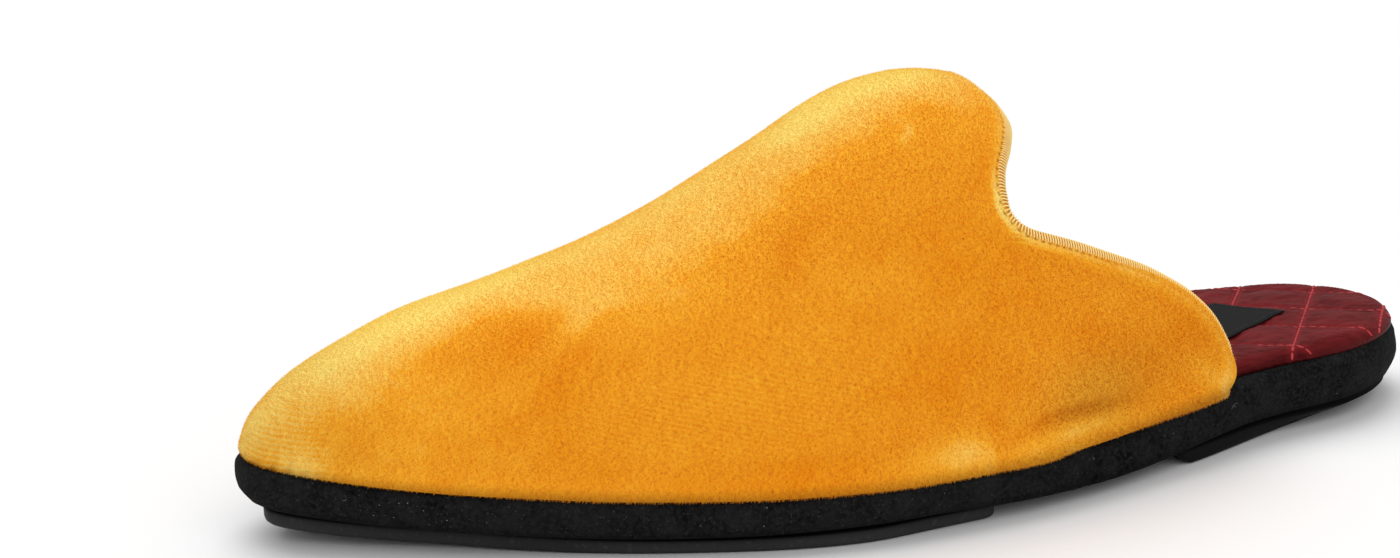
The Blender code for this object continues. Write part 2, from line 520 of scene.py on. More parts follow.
def needle_holes(finish):
    """Round holes a pitch apart, on a line that follows the edge of the opening."""
    run = finish.attribute("run") / NEEDLE_PITCH
    across = (finish.maths("FRACT", run) - 0.5) * NEEDLE_PITCH
    away = finish.attribute("edge") - NEEDLE_INSET
    distance = finish.maths("SQRT", across * across + away * away)
    return finish.ramp(distance, (0.22, 1.0), (0.55, 0.0)) * finish.attribute("stitched")


def velvet_colour(finish, light):
    """Gold from a deep orange to a pale yellow, by how light the pile lies and by the painted light in the
    nap.
    """
    fibres = finish.noise(3200.0, detail=1.0)
    deep = finish.mix(fibres, (0.80, 0.246, 0.002), (0.92, 0.350, 0.006))
    color = finish.mix(finish.ramp(light, (0.0, 0.0), (0.55, 1.0)), deep, (0.97, 0.50, 0.030))
    color = finish.mix(finish.ramp(light, (0.45, 0.0), (1.0, 1.0)), color, (1.00, 0.79, 0.215))
    # Painted shade: the gold is dulled towards dark olive at the toe and the low rear foot; the rear rim is
    # dulled too.
    return finish.mix(finish.attribute("dull"), color, (0.50, 0.29, 0.035))


def velvet_light(finish):
    """How light the pile lies: the nap with its strokes and painted light, clouds, grain and woven rows."""
    clouds = finish.noise(CLOUD_SCALE, detail=3.0, stretch=(1.4, 0.7, 1.4), distortion=0.5)
    mottle = finish.noise(MOTTLE_SCALE, detail=3.0, roughness=0.6)
    grain = finish.noise(GRAIN_SCALE, detail=2.0, roughness=0.65)
    row = finish.maths("COSINE", finish.attribute("row_place") * (2.0 * math.pi / ROW_PITCH))
    rows = row * finish.attribute("row_show")
    coarse = finish.attribute("coarse")
    light = finish.attribute("nap") + (clouds - 0.5) * 0.55
    light = light + (mottle - 0.5) * (coarse * 0.30 + 0.22)
    return light + (grain - 0.5) * coarse * 0.30 + rows * 0.22, grain, rows


def velvet_finish():
    finish = Finish("gold velvet")
    light, grain, rows = velvet_light(finish)
    shade = finish.attribute("shade")
    holes = needle_holes(finish)
    color = velvet_colour(finish, light)
    dark = finish.maths("MAXIMUM", shade, holes * 0.62, clamp=True)
    color = finish.mix(dark, color, (0.20, 0.045, 0.001))
    relief = finish.bump(grain * 0.7 + rows * 0.3 - holes * 0.8, 0.0004, 0.6)
    return finish.surface(color, 0.9, 0.1, (0.35, 0.3, (1.0, 0.66, 0.22)), relief)


def pile_finish():
    finish = Finish("gold velvet pile")
    light = velvet_light(finish)[0] + finish.attribute("tone") * finish.attribute("coarse")
    color = velvet_colour(finish, light)
    # Painted shade at the root of each tuft, added to the painted shade that the cloth carries.
    root = (1.0 - finish.attribute("tip")) * 0.10
    dark = finish.maths("MAXIMUM", finish.attribute("shade"), root, clamp=True)
    color = finish.mix(dark, color, (0.30, 0.060, 0.001))
    return finish.surface(color, 0.75, 0.25, (0.25, 0.3, (1.0, 0.70, 0.28)))


VELVET = velvet_finish()
PILE = pile_finish()
print("velvet finishes ready")

# %% [markdown]
# ## The upper
#
# The vamp is one piece of velvet, lasted over the foot and tucked under its own
# edge. It is drawn as a fine grid over the last: one direction runs from toe to
# opening and the other from the inner to the outer edge of the sole. Soft bumps
# then push the grid out where the cloth bags over the wrapped sole, and pull it in
# where the edge stitch squeezes it. Below the foot the cloth rolls into a lip that
# hangs over the sole, further at the waist than at the toe.


# %% A grid over the last
def upper_grid(rows, columns):
    """Stations, shares, points and outward normals of a grid over the upper."""
    share = crowded(np.linspace(-1.0, 1.0, columns), 1.3)
    end = smooth(TOPLINE, 1, np.abs(share))
    fine = max(rows // 8, 2)
    growth = np.concatenate([
        0.95 * np.linspace(0.0, 1.0, rows - fine + 1)[:-1] ** 1.4,
        np.linspace(0.95, 1.0, fine),
    ])
    station = growth[:, None] * end
    share = np.broadcast_to(share, station.shape)
    points = upper_point(station, share)
    normals = np.cross(np.gradient(points, axis=1), np.gradient(points, axis=0))
    normals[0] = (0.0, -1.0, 0.0)
    normals /= np.linalg.norm(normals, axis=-1, keepdims=True) + 1e-12
    return station, share, points, normals


def topline_shares(count):
    """Shares along the edge of the opening, from the inner to the outer side."""
    return crowded(np.linspace(-1.0, 1.0, count), 1.15)


def topline_points(count):
    """Points along the edge of the opening."""
    share = topline_shares(count)
    return upper_point(smooth(TOPLINE, 1, np.abs(share)), share)


def topline_distance(points):
    """Distance to the opening's edge and place along it, in millimetres."""
    line = topline_points(1600)
    along = np.concatenate([[0.0], np.cumsum(np.linalg.norm(np.diff(line, axis=0), axis=1))])
    tree = nearest_tree(line)
    found = [tree.find(point) for point in points.reshape(-1, 3)]
    edge = np.array([hit[2] for hit in found]).reshape(points.shape[:-1])
    run = np.array([along[hit[1]] for hit in found]).reshape(points.shape[:-1])
    return edge / MM, run / MM


def overlock_show(share):
    """How far the overlock lies on the outside: less where the edge rolls in."""
    at = np.abs(share)
    return fraction((at - 0.12) / 0.15) * fraction((0.68 - at) / 0.10)


def foot_height(station, share, points):
    """Height of each point over the foot of the upper below it, in millimetres."""
    foot = upper_point(station, np.where(share >= 0.0, 1.0, -1.0))
    return (points[..., 2] - foot[..., 2]) / MM


# %% [markdown]
# ### Creases, folds and the hanging lip
#
# Each fold is placed one by one, in the slipper's own sizes. A small table says how
# far the foot of the velvet hangs over the sole and how far it stands out there. A
# line above the waist is the crease where the bagged cloth turns in again.

# %% The shape of the cloth
LIP = (
    # station; outer side: hang, stand, reach; inner side: hang, stand, reach (mm)
    (0.00, 0.10, 1.0, 5.0, 0.25, 1.0, 5.0),
    (0.05, -0.20, 1.0, 5.4, 0.30, 1.0, 5.4),
    (0.10, -0.30, 1.1, 6.0, 0.40, 1.1, 6.0),
    (0.20, 0.20, 1.2, 6.5, 0.50, 1.2, 6.5),
    (0.27, 0.10, 1.3, 7.0, 0.60, 1.2, 7.0),
    (0.33, 0.30, 1.4, 7.6, 0.60, 1.3, 7.0),
    (0.42, 0.60, 1.7, 9.0, 0.70, 1.4, 7.0),
    (0.50, 0.70, 2.3, 10.0, 0.90, 1.6, 8.0),
    (0.558, 0.80, 2.9, 10.0, 1.00, 1.8, 8.0),
    (0.582, -0.25, 2.9, 9.5, 1.10, 1.9, 8.0),
    (0.615, -0.35, 2.8, 9.0, 1.10, 1.9, 8.0),
    (0.650, 0.20, 2.8, 9.0, 1.10, 1.9, 8.0),
    (0.700, 1.20, 2.8, 9.0, 1.10, 1.9, 8.0),
    (0.765, 1.30, 2.6, 8.0, 1.00, 1.7, 8.0),
)
CREASE = (
    # station, height over the foot (mm)
    (0.490, 3.4),
    (0.516, 4.8),
    (0.546, 6.5),
    (0.596, 6.8),
    (0.627, 6.0),
    (0.670, 4.6),
)
# The crease's nap and shade are painted: painted shade in the crease, and a painted highlight on the fold
# below it.
CREASE_EFFECTS = {
    # amount, station, reach along, height over the crease line (mm), reach up (mm)
    "push": ((-0.80, 0.583, 0.085, 0.4, 2.8), (0.75, 0.583, 0.085, -2.6, 2.8)),
    "nap": ((-0.26, 0.575, 0.10, 0.6, 2.4), (0.07, 0.575, 0.10, -2.4, 2.4)),
    "shade": ((0.14, 0.590, 0.075, 0.8, 2.6),),
}
PLEAT_DEPTH = 0.30
PLEAT_PITCH = 2.7 * MM
HAND_DEPTH = 0.22
SWELL_HEIGHT = 0.32
NEEDLE_PRESS = 0.22
SQUEEZE_DEPTH = 0.95
SQUEEZE_REACH = 2.6
RIDGE_DIP = 1.8
LIP_RADIUS = 0.75
PILE_HEIGHT = 0.3
TONGUE_CURL = 2.0
VELVET_GRID = (168, 201)
PILE_GRID = (110, 141)


def tongue_drop(share, edge):
    """How far the tongue curls down to its edge, in millimetres."""
    return TONGUE_CURL * soft_bump(share, 0.44) * fraction(1.0 - edge / 9.0) ** 2


def ridge_dip(station, share):
    """How far the ridge sags in front of the tongue, in millimetres."""
    return RIDGE_DIP * soft_bump(station - 0.422, 0.075) * soft_bump(share + 0.10, 0.55)


def edge_squeeze(edge):
    """How far the overlock pulls the cloth in at its edge, in millimetres."""
    return SQUEEZE_DEPTH * fraction(1.0 - edge / SQUEEZE_REACH) ** 1.6


def at_crease(value, effect, station, share, height):
    """A value with one of the crease's effects added, on the outer side only."""
    over = height - smooth(CREASE, 1, station)
    for amount, middle, reach, above, reach_up in CREASE_EFFECTS[effect]:
        along = np.where(share > 0.0, soft_bump(station - middle, reach), 0.0)
        value = value + amount * along * soft_bump(over - above, reach_up)
    return value


def lip_sizes(station, outer):
    """Hang, stand and reach of the foot roll, in millimetres."""
    return [
        np.where(outer, smooth(LIP, column_out, station), smooth(LIP, column_out + 3, station))
        for column_out in (1, 2, 3)
    ]


def cloth_relief(station, share, points, edge, run):
    """How far the velvet stands off the last, in millimetres."""
    height = foot_height(station, share, points)
    outer = share > 0.0
    hang, stand, reach = lip_sizes(station, outer)
    rise = fraction(height / reach)
    push = stand * (1.0 - rise * rise) ** 2
    # The crease over the bagged waist, and the ridge that it leaves below it.
    push = at_crease(push, "push", station, share, height)
    pinch = np.where(outer, soft_bump(station - 0.61, 0.02), 0.0)
    push = push - 0.40 * pinch * soft_bump(height - 4.0, 4.0)
    # Short pleats where the velvet is gathered under the toe.
    toe = soft_bump(station - 0.022, 0.040) * soft_bump(height - 1.5, 6.0)
    side = fraction((np.abs(share) - 0.55) / 0.3)
    push = push + PLEAT_DEPTH * toe * side * np.cos(2.0 * math.pi * points[..., 1] / PLEAT_PITCH)
    # The hand of the cloth: long shallow hollows that no last has.
    x, y, z = np.moveaxis(points / MM, -1, 0)
    hand = np.sin(x * 0.093 + y * 0.051 + 1.3) * np.sin(y * 0.067 - z * 0.084 + 0.4)
    hand = hand + 0.5 * np.sin(y * 0.171 + x * 0.120) * np.sin(z * 0.151 + x * 0.060)
    push = push + HAND_DEPTH * hand * fraction(height / 12.0) * fraction(edge / 10.0)
    # The tongue curls down to its edge, and the pile takes up a little height.
    push = push - tongue_drop(share, edge) - PILE_HEIGHT * fraction(height / 6.0)
    # The edge stitch squeezes the cloth, which swells and puckers beside it.
    pucker = 1.0 + 0.35 * np.cos(2.0 * math.pi * run / (2.0 * NEEDLE_PITCH))
    push = push + SWELL_HEIGHT * pucker * soft_bump(edge - 4.4, 2.6)
    push = push - NEEDLE_PRESS * soft_bump(edge - NEEDLE_INSET, 0.9)
    return push - edge_squeeze(edge)


# %% [markdown]
# ### The lie of the pile
#
# Strokes of pale and deep pile are placed one by one as well. A stroke is a middle
# on the upper, a reach along and around the foot, and a strength.

# %% Strokes on the pile
# Some strokes are painted light: the pale strokes on the ridge and on the fold below the waist crease are
# painted highlights, and the deep strokes at the front of the toe and in the shadow over that fold are
# painted shade.
STROKES = (
    # station, share, reach along (mm), reach around (mm), strength
    (0.020, 0.15, 14, 26, 0.10),
    (0.010, 0.60, 7, 16, 0.14),
    (0.032, 0.87, 7, 5, 0.36),
    (0.085, 0.05, 24, 14, 0.30),
    (0.160, 0.02, 22, 10, 0.24),
    (0.190, 0.32, 10, 8, -0.20),
    (0.212, 0.20, 6, 8, 0.16),
    (0.240, 0.31, 10, 6, 0.28),
    (0.222, 0.40, 5, 4, 0.20),
    (0.300, 0.22, 26, 6, 0.14),
    (0.120, 0.62, 16, 8, 0.12),
    (0.070, 0.45, 14, 16, 0.10),
    (0.430, 0.04, 30, 9, 0.20),
    (0.490, 0.06, 14, 7, 0.20),
    (0.545, 0.05, 12, 9, 0.26),
    (0.493, 0.280, 0.8, 2.6, 0.26),
    (0.486, 0.300, 0.8, 2.4, 0.22),
    (0.480, 0.322, 0.8, 2.0, 0.16),
    (0.440, 0.945, 14, 3, 0.12),
    (0.535, 0.972, 8, 2.0, 0.12),
    (0.570, 0.956, 8, 1.8, 0.15),
    (0.605, 0.948, 8, 1.8, 0.18),
    (0.570, 0.998, 12, 1.2, 0.18),
    (0.640, 0.965, 14, 2.5, 0.10),
    (0.718, 0.905, 6, 4, 0.26),
    (0.735, 0.960, 7, 4, 0.22),
    (0.430, 0.565, 16, 4, 0.10),
    (0.450, 0.720, 24, 12, -0.06),
    (0.640, 0.800, 24, 14, -0.08),
    (0.05, 0.80, 9, 5, -0.12),
    (0.27, 0.40, 10, 8, 0.10),
    (0.40, 0.95, 18, 5, -0.10),
    (0.40, 0.00, 18, 12, -0.12),
    (0.30, 0.45, 22, 12, 0.14),
    (0.55, 0.30, 9, 8, 0.11),
    (0.49, 0.55, 14, 9, -0.14),
    (0.50, 0.90, 5, 3, -0.12),
    (0.65, 0.70, 9, 8, 0.12),
)
SIDE_NAP = 0.23
RIDGE_PAINTED_HIGHLIGHT = 0.68
TONGUE_LOSS = 0.30
TOE_LOSS = 0.24


def nap_and_painted_light_of(station, share, points, edge):
    """How light the pile lies: the strokes, with a painted highlight along the ridge and painted shade and
    highlight at the waist crease.
    """
    toe = soft_bump(station, 0.16)
    # Painted highlight: a pale stretch along the top of the ridge, wider but weaker at the toe and fading
    # towards the tongue.
    ridge_highlight = soft_bump(share + 0.05, 0.46 + 0.44 * toe) ** 0.80
    fade = fraction((station - 0.44) / 0.14)
    nap = SIDE_NAP + ridge_highlight * (RIDGE_PAINTED_HIGHLIGHT - TONGUE_LOSS * fade - TOE_LOSS * toe)
    for at_station, at_share, reach_along, reach_round, strength in STROKES:
        middle = upper_point(np.array(at_station), np.array(at_share))
        away = (points - middle) / MM
        around = np.hypot(away[..., 0], away[..., 2]) / reach_round
        along = away[..., 1] / reach_along
        nap = nap + strength * np.exp(-(around ** 2 + along ** 2))
    # A brushed patch above the waist, with a sharp edge towards the heel.
    height = foot_height(station, share, points)
    patch = fraction((0.503 - station) / 0.006) * fraction((station - 0.418) / 0.050)
    nap = nap + 0.36 * patch * soft_bump(height - 4.5, 4.2 + 5.0 * patch) * (share > 0.0)
    # The foot of the side is deeper between the ball and the waist.
    nap = nap - 0.09 * soft_bump(station - 0.34, 0.15) * soft_bump(height - 3.0, 7.0) * (share > 0.0)
    # Painted shade in the crease at the waist, and a painted highlight on the fold below it.
    nap = at_crease(nap, "nap", station, share, height)
    notch = soft_bump(np.abs(share) - 0.50, 0.16)
    rear = fraction((station - 0.60) / 0.05)
    nap = nap + 0.16 * rear * soft_bump(edge - 2.0, 6.0)
    return nap + (0.18 + 0.55 * notch) * soft_bump(edge - 3.0, 2.3)


def shade_of(station, share, points, edge):
    """Where the pile is in its own shadow: at the foot and in the crease."""
    height = foot_height(station, share, points)
    fringe = 0.70 + 0.24 * soft_bump(station - 0.22, 0.22)
    foot = fringe * fraction(1.0 - (height + 1.2) / 3.8) ** 1.2
    shade = at_crease(foot, "shade", station, share, height)
    shade = shade + 0.05 * soft_bump(station - 0.67, 0.12) * soft_bump(share - 0.86, 0.18)
    shade = shade + 0.16 * overlock_show(share) * fraction((2.1 - edge) / 0.5)
    return shade + 0.06 * fraction((station - 0.55) / 0.2)


def dull_shade_of(station, share, points, edge):
    """Where the gold is painted duller and darker: painted shade at the toe and the low rear foot, and a
    duller rim at the rear.
    """
    low = soft_bump(foot_height(station, share, points) - 9.0, 15.0)
    rear = 0.28 * soft_bump(station - 0.605, 0.09) * low
    rim = 0.10 * soft_bump(edge, 3.0) * fraction((station - 0.60) / 0.1)
    return 0.22 * soft_bump(station + 0.01, 0.13) ** 0.8 + rear + rim


def rows_of(station, share, points):
    """Place across the woven rows, and how clearly the rows show."""
    height = foot_height(station, share, points)
    round_foot = np.arcsin(fraction(np.abs(share)))
    along = (points[..., 1] + LENGTH / 2.0) / MM
    place = height - 0.12 * np.minimum(along, 20.0) + 0.22 * np.maximum(along - 20.0, 0.0)
    place = place - 1.5 * (math.pi / 2.0 - round_foot)
    toe = 0.60 * soft_bump(station - 0.008, 0.065) * fraction(np.abs(share) / 0.3)
    side = 0.40 * soft_bump(station - 0.30, 0.22) * soft_bump(np.abs(share) - 0.72, 0.24)
    return place, toe + side


# %% Lay the velvet
def lip_loop(station, outer):
    """Plan offset outwards and height of the points of the rolled foot, per row."""
    hang, stand, reach = lip_sizes(station, outer)
    drop = np.minimum(hang, LIP_RADIUS)
    centre = drop - hang
    offsets = [stand]
    heights = [centre * 0.5]
    for turn in np.linspace(0.0, math.pi, 6):
        offsets.append(stand - LIP_RADIUS * (1.0 - math.cos(turn)))
        heights.append(centre - drop * math.sin(turn))
    offsets.append(stand - 2.0 * LIP_RADIUS)
    heights.append(np.full_like(stand, 0.2))
    return np.stack(offsets, axis=1), np.stack(heights, axis=1)


def velvet_sheet(rows, columns):
    """The outside of the velvet with its rolled foot, and its inside, as grids."""
    station, share, points, normals = upper_grid(rows, columns)
    edge, run = topline_distance(points)
    push = cloth_relief(station, share, points, edge, run)
    height = foot_height(station, share, points)
    rolls = []
    for side, last in ((-1, 0), (1, -1)):
        at = station[:, last]
        x, y = outline(at, side, 0.0)
        x_in, y_in = outline(at, side, 1.0 * MM)
        out = np.stack([x - x_in, y - y_in, np.zeros_like(x)], axis=1) / MM
        near = fraction(1.0 - height / 4.0)[..., None] * (share * side > 0.0)[..., None]
        normals = normals * (1.0 - near) + out[:, None] * near
        offset, level = lip_loop(at, np.full(rows, side > 0))
        roll = points[:, last][:, None] + out[:, None] * (offset * MM)[..., None]
        roll = roll - out[:, None] * (edge_squeeze(edge[:, last]) * MM)[:, None, None]
        roll[..., 2] += level * MM
        rolls.append(roll)
    normals /= np.linalg.norm(normals, axis=-1, keepdims=True) + 1e-12
    points = points - normals * (ridge_dip(station, share) * MM)[..., None]
    face = points + normals * (push * MM)[..., None]
    follow = fraction(height / 4.0) * fraction(edge / 3.0)
    depth = 1.0 - 0.1 * fraction(1.0 - edge / 2.0)
    back = points + normals * ((np.maximum(push, 0.0) * follow - depth) * MM)[..., None]
    back = back + normals * (np.minimum(push, 0.0) * 0.45 * MM)[..., None]
    out_side = np.concatenate([rolls[0][:, ::-1], face, rolls[1]], axis=1)
    numbers = {
        "nap": nap_and_painted_light_of(station, share, points, edge),
        "shade": shade_of(station, share, points, edge),
        "edge": edge,
        "run": run,
        "coarse": 0.34 + 0.85 * soft_bump(station, 0.30),
        "stitched": overlock_show(share),
        "dull": dull_shade_of(station, share, points, edge),
        "growth": fraction((edge - 0.5 - 1.2 * overlock_show(share)) / 1.2),
    }
    numbers["row_place"], numbers["row_show"] = rows_of(station, share, points)
    extra = rolls[0].shape[1]
    for name, values in numbers.items():
        left = np.repeat(values[:, :1], extra, axis=1)
        right = np.repeat(values[:, -1:], extra, axis=1)
        numbers[name] = np.concatenate([left, values, right], axis=1)
    return out_side, back, numbers


def make_velvet():
    """The velvet's outside and inside as one loop, with a rim at the opening."""
    out_side, back, numbers = velvet_sheet(*VELVET_GRID)
    rows, wide = out_side.shape[:2]
    columns = back.shape[1]
    extra = (wide - columns) // 2
    loop = np.concatenate([out_side, back[:, ::-1]], axis=1)
    count = loop.shape[1]
    end = (rows - 1) * count + np.arange(count)
    top = end[extra:extra + columns]
    under = end[wide:][::-1]
    rim = np.stack([top[:-1], top[1:], under[1:], under[:-1]], axis=1).tolist()
    ends = [end[:extra + 1].tolist() + [int(under[0])],
            [int(under[-1])] + end[extra + columns - 1:wide].tolist()]
    faces = tube_faces(rows, count).tolist() + rim + ends
    piece = add_mesh("upper_velvet", loop, faces, VELVET, weld_doubles=False)
    inner = slice(extra, extra + columns)
    set_numbers(piece, {name: np.concatenate([values, values[:, inner][:, ::-1]], axis=1)
                        for name, values in numbers.items()})
    weld(piece)
    return piece


velvet = make_velvet()
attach(velvet, BODY)
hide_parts("upper")
print("velvet triangles:", triangles(velvet))


# %% [markdown]
# ## The lining
#
# Inside, the velvet is backed with plain satin. It is the same last, moved in by
# the thickness of the velvet, so that a second, coarser grid is enough.

# %% The lining's finish and piece
def lining_finish():
    finish = Finish("lining satin")
    weave = finish.noise(1400.0, detail=2.0, stretch=(1.0, 0.35, 1.0))
    clouds = finish.noise(60.0, detail=2.0)
    color = finish.mix(clouds, (0.060, 0.006, 0.009), (0.120, 0.014, 0.020))
    return finish.surface(color, 0.45, 0.35, normal=finish.bump(weave, 0.0001, 0.5))


LINING = lining_finish()
LINING_DEPTH = 1.95 * MM
LINING_THICKNESS = 0.6 * MM
LINING_GRID = (96, 121)


def make_lining():
    station, share, points, normals = upper_grid(*LINING_GRID)
    curl = tongue_drop(share, topline_distance(points)[0])
    depth = LINING_DEPTH + (curl + ridge_dip(station, share)) * MM
    points = points - normals * depth[..., None]
    piece = add_mesh("upper_lining", points, grid_faces(*LINING_GRID), LINING)
    thicken(piece, LINING_THICKNESS, -1.0)
    return piece


lining = make_lining()
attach(lining, BODY)
print("lining triangles:", triangles(lining))

# %% [markdown]
# ## Geometry Nodes helpers
#
# The overlock, the pile, the stitches and the lint all repeat one small shape along
# a line or over a surface. Each is a Geometry Nodes tree built by the script. A
# guide mesh goes in, the tree places its shape, and the result is kept as a plain
# mesh, because a modifier left on a piece would be lost with it.


# %% Guides and trees
def guide_mesh(name, points, edges=(), faces=(), numbers=None, vectors=None):
    """A mesh that a tree reads: its points, and numbers and vectors on them."""
    mesh = bpy.data.meshes.new(name)
    mesh.from_pydata(np.asarray(points).reshape(-1, 3).tolist(), edges, faces)
    guide = add_object(name, mesh)
    set_numbers(guide, numbers)
    set_numbers(guide, vectors, "FLOAT_VECTOR", "vector")
    return guide


def chain(count, start=0):
    """Edges that join a row of points."""
    return [(start + i, start + i + 1) for i in range(count - 1)]


def new_tree(name, sizes):
    """A Geometry Nodes group with one geometry input and named number inputs."""
    group = bpy.data.node_groups.new(name, "GeometryNodeTree")
    group.interface.new_socket("Geometry", in_out="INPUT", socket_type="NodeSocketGeometry")
    for label, value in sizes.items():
        kind = "NodeSocketInt" if isinstance(value, int) else "NodeSocketFloat"
        socket = group.interface.new_socket(label, in_out="INPUT", socket_type=kind)
        socket.default_value = value
    group.interface.new_socket("Geometry", in_out="OUTPUT", socket_type="NodeSocketGeometry")
    tree = Tree(group)
    source = tree.nodes.new("NodeGroupInput")
    wires = {socket.name: Wire(tree, socket) for socket in source.outputs if socket.name}
    return group, tree, wires


def end_tree(tree, geometry, finish):
    """Realize what the tree made, give it its material and send it out."""
    real = tree.node("GeometryNodeRealizeInstances", None, {0: geometry})
    painted = tree.node("GeometryNodeSetMaterial", None, {"Geometry": real, "Material": finish})
    tree.node("NodeGroupOutput", None, {0: painted})


def run_tree(guide, group, name, sizes):
    """Run a tree on a guide with these sizes, and keep the result as a plain mesh."""
    modifier = guide.modifiers.new(name, "NODES")
    modifier.node_group = group
    for item in group.interface.items_tree:
        if item.in_out == "INPUT" and item.name in sizes:
            modifier[item.identifier] = sizes[item.name]
    depsgraph = bpy.context.evaluated_depsgraph_get()
    mesh = bpy.data.meshes.new_from_object(guide.evaluated_get(depsgraph))
    guide.modifiers.clear()
    bpy.data.objects.remove(guide, do_unlink=True)
    mesh.name = name
    mesh.shade_smooth()
    return add_object(name, mesh)


def random_number(tree, low, high, seed):
    """A random number for each point."""
    return tree.node("FunctionNodeRandomValue", {"data_type": "FLOAT"},
                     {2: low, 3: high, "Seed": seed}, output=1)


def keep_number(tree, geometry, name, value):
    """Store a number on each point of a geometry."""
    settings = {"data_type": "FLOAT", "domain": "POINT"}
    return tree.node("GeometryNodeStoreNamedAttribute", settings,
                     {"Geometry": geometry, "Name": name, "Value": value})


def named(tree, name, kind="FLOAT"):
    """Read an attribute of the guide."""
    return tree.node("GeometryNodeInputNamedAttribute", {"data_type": kind}, {"Name": name})


def vector_maths(tree, operation, a, b, key=1):
    """A Vector Math node; key is 1 for a second vector and "Scale" for a number."""
    return tree.node("ShaderNodeVectorMath", {"operation": operation}, {0: a, key: b})


def scattered(tree, geometry, density, seed):
    """Points over a guide at random, and the guide's normal at each."""
    return tree.outputs("GeometryNodeDistributePointsOnFaces", {"distribute_method": "RANDOM"},
                        {"Mesh": geometry, "Density": density, "Seed": seed})[:2]


def points_along(tree, geometry, pitch):
    """Points a pitch apart along a guide line, and the line's rotation at each."""
    line = tree.node("GeometryNodeMeshToCurve", None, {"Mesh": geometry})
    points, _, _, rotation = tree.outputs("GeometryNodeCurveToPoints", {"mode": "LENGTH"},
                                          {"Curve": line, "Length": pitch})
    return points, rotation


def spun_upright(tree, direction, seed):
    """A rotation that stands up along a direction, spun about it at random."""
    upright = tree.node("FunctionNodeAlignRotationToVector", {"axis": "Z"}, {"Vector": direction})
    angle = random_number(tree, 0.0, 2.0 * math.pi, seed)
    spin = tree.node("FunctionNodeAxisAngleToRotation", None, {"Axis": (0.0, 0.0, 1.0), "Angle": angle})
    return tree.node("FunctionNodeRotateRotation", {"rotation_space": "LOCAL"}, {0: upright, 1: spin})


def copies(tree, points, shape, rotation, scale):
    """One copy of a shape at each point."""
    inputs = {"Points": points, "Instance": shape, "Rotation": rotation, "Scale": scale}
    return tree.node("GeometryNodeInstanceOnPoints", None, inputs)


def circle(tree, resolution, radius):
    """A circle of line, to bend into a hoop or to sweep as a thread's section."""
    return tree.node("GeometryNodeCurvePrimitiveCircle", {"mode": "RADIUS"},
                     {"Resolution": resolution, "Radius": radius})


# %% [markdown]
# ## The pile
#
# Close to, velvet is a forest of short fibres, and they blur its outline. A tuft is
# one thin upright triangle. A Geometry Nodes tree scatters tufts over the velvet,
# leans each one the way the pile lies, with some disorder, and keeps for each tuft
# the numbers that the colour needs. The pile is split in three pieces, so that none
# is too heavy.


# %% The tuft tree
TUFT_TONE = 0.09


def pile_tree(finish):
    sizes = {"Density": 1.0e7, "Length": 0.001, "Width": 0.0002, "Lean": 0.5, "Disorder": 0.4, "Seed": 1}
    group, tree, wire = new_tree("velvet pile", sizes)
    density = wire["Density"] * named(tree, "growth")
    points, normal = scattered(tree, wire["Geometry"], density, wire["Seed"])
    points = keep_number(tree, points, "tone", random_number(tree, -TUFT_TONE, TUFT_TONE, 5))
    # The tuft: a circle of three points, pulled into a tall thin triangle.
    round_three = tree.node("GeometryNodeMeshCircle", {"fill_type": "NGON"}, {"Vertices": 3, "Radius": 1.0})
    x, y, _ = tree.parts(tree.node("GeometryNodeInputPosition"))
    height = (x + 0.5) / 1.5
    spot = tree.vector(y * wire["Width"] / 1.732, 0.0, height * wire["Length"])
    tuft = keep_number(tree, round_three, "tip", height)
    tuft = tree.node("GeometryNodeSetPosition", None, {"Geometry": tuft, "Position": spot})
    # The lean: the cloth's normal, the lie of the pile and some disorder.
    disorder = tree.node("FunctionNodeRandomValue", {"data_type": "FLOAT_VECTOR"},
                         {0: (-1.0, -1.0, -1.0), 1: (1.0, 1.0, 1.0), "Seed": 7}, output=0)
    direction = normal
    for pull, amount in ((named(tree, "lie", "FLOAT_VECTOR"), wire["Lean"]), (disorder, wire["Disorder"])):
        direction = vector_maths(tree, "ADD", direction, vector_maths(tree, "SCALE", pull, amount, "Scale"))
    turned = spun_upright(tree, direction, 9)
    end_tree(tree, copies(tree, points, tuft, turned, random_number(tree, 0.7, 1.2, 11)), finish)
    return group


# %% Grow the pile
PILE_PARTS = (
    # name, first and last row and column of the sheet, as shares
    ("upper_pile_toe", 0.00, 0.56, 0.00, 1.00),
    ("upper_pile_outer", 0.56, 1.00, 0.50, 1.00),
    ("upper_pile_inner", 0.56, 1.00, 0.00, 0.50),
)
PILE_LENGTH = 0.55 * MM
PILE_WIDTH = 0.15 * MM
PILE_TUFTS = 160000
BARE_COLUMNS = 4


def lie_of(points):
    """The way the pile leans: towards the toe and down, unsteadily."""
    x, y, z = np.moveaxis(points / MM, -1, 0)
    sway = 0.35 * np.sin(x * 0.21 + y * 0.11) + 0.25 * np.sin(y * 0.31 - z * 0.17)
    return np.stack([sway * 0.5, np.full_like(sway, -0.75), -0.55 + 0.3 * sway], axis=-1)


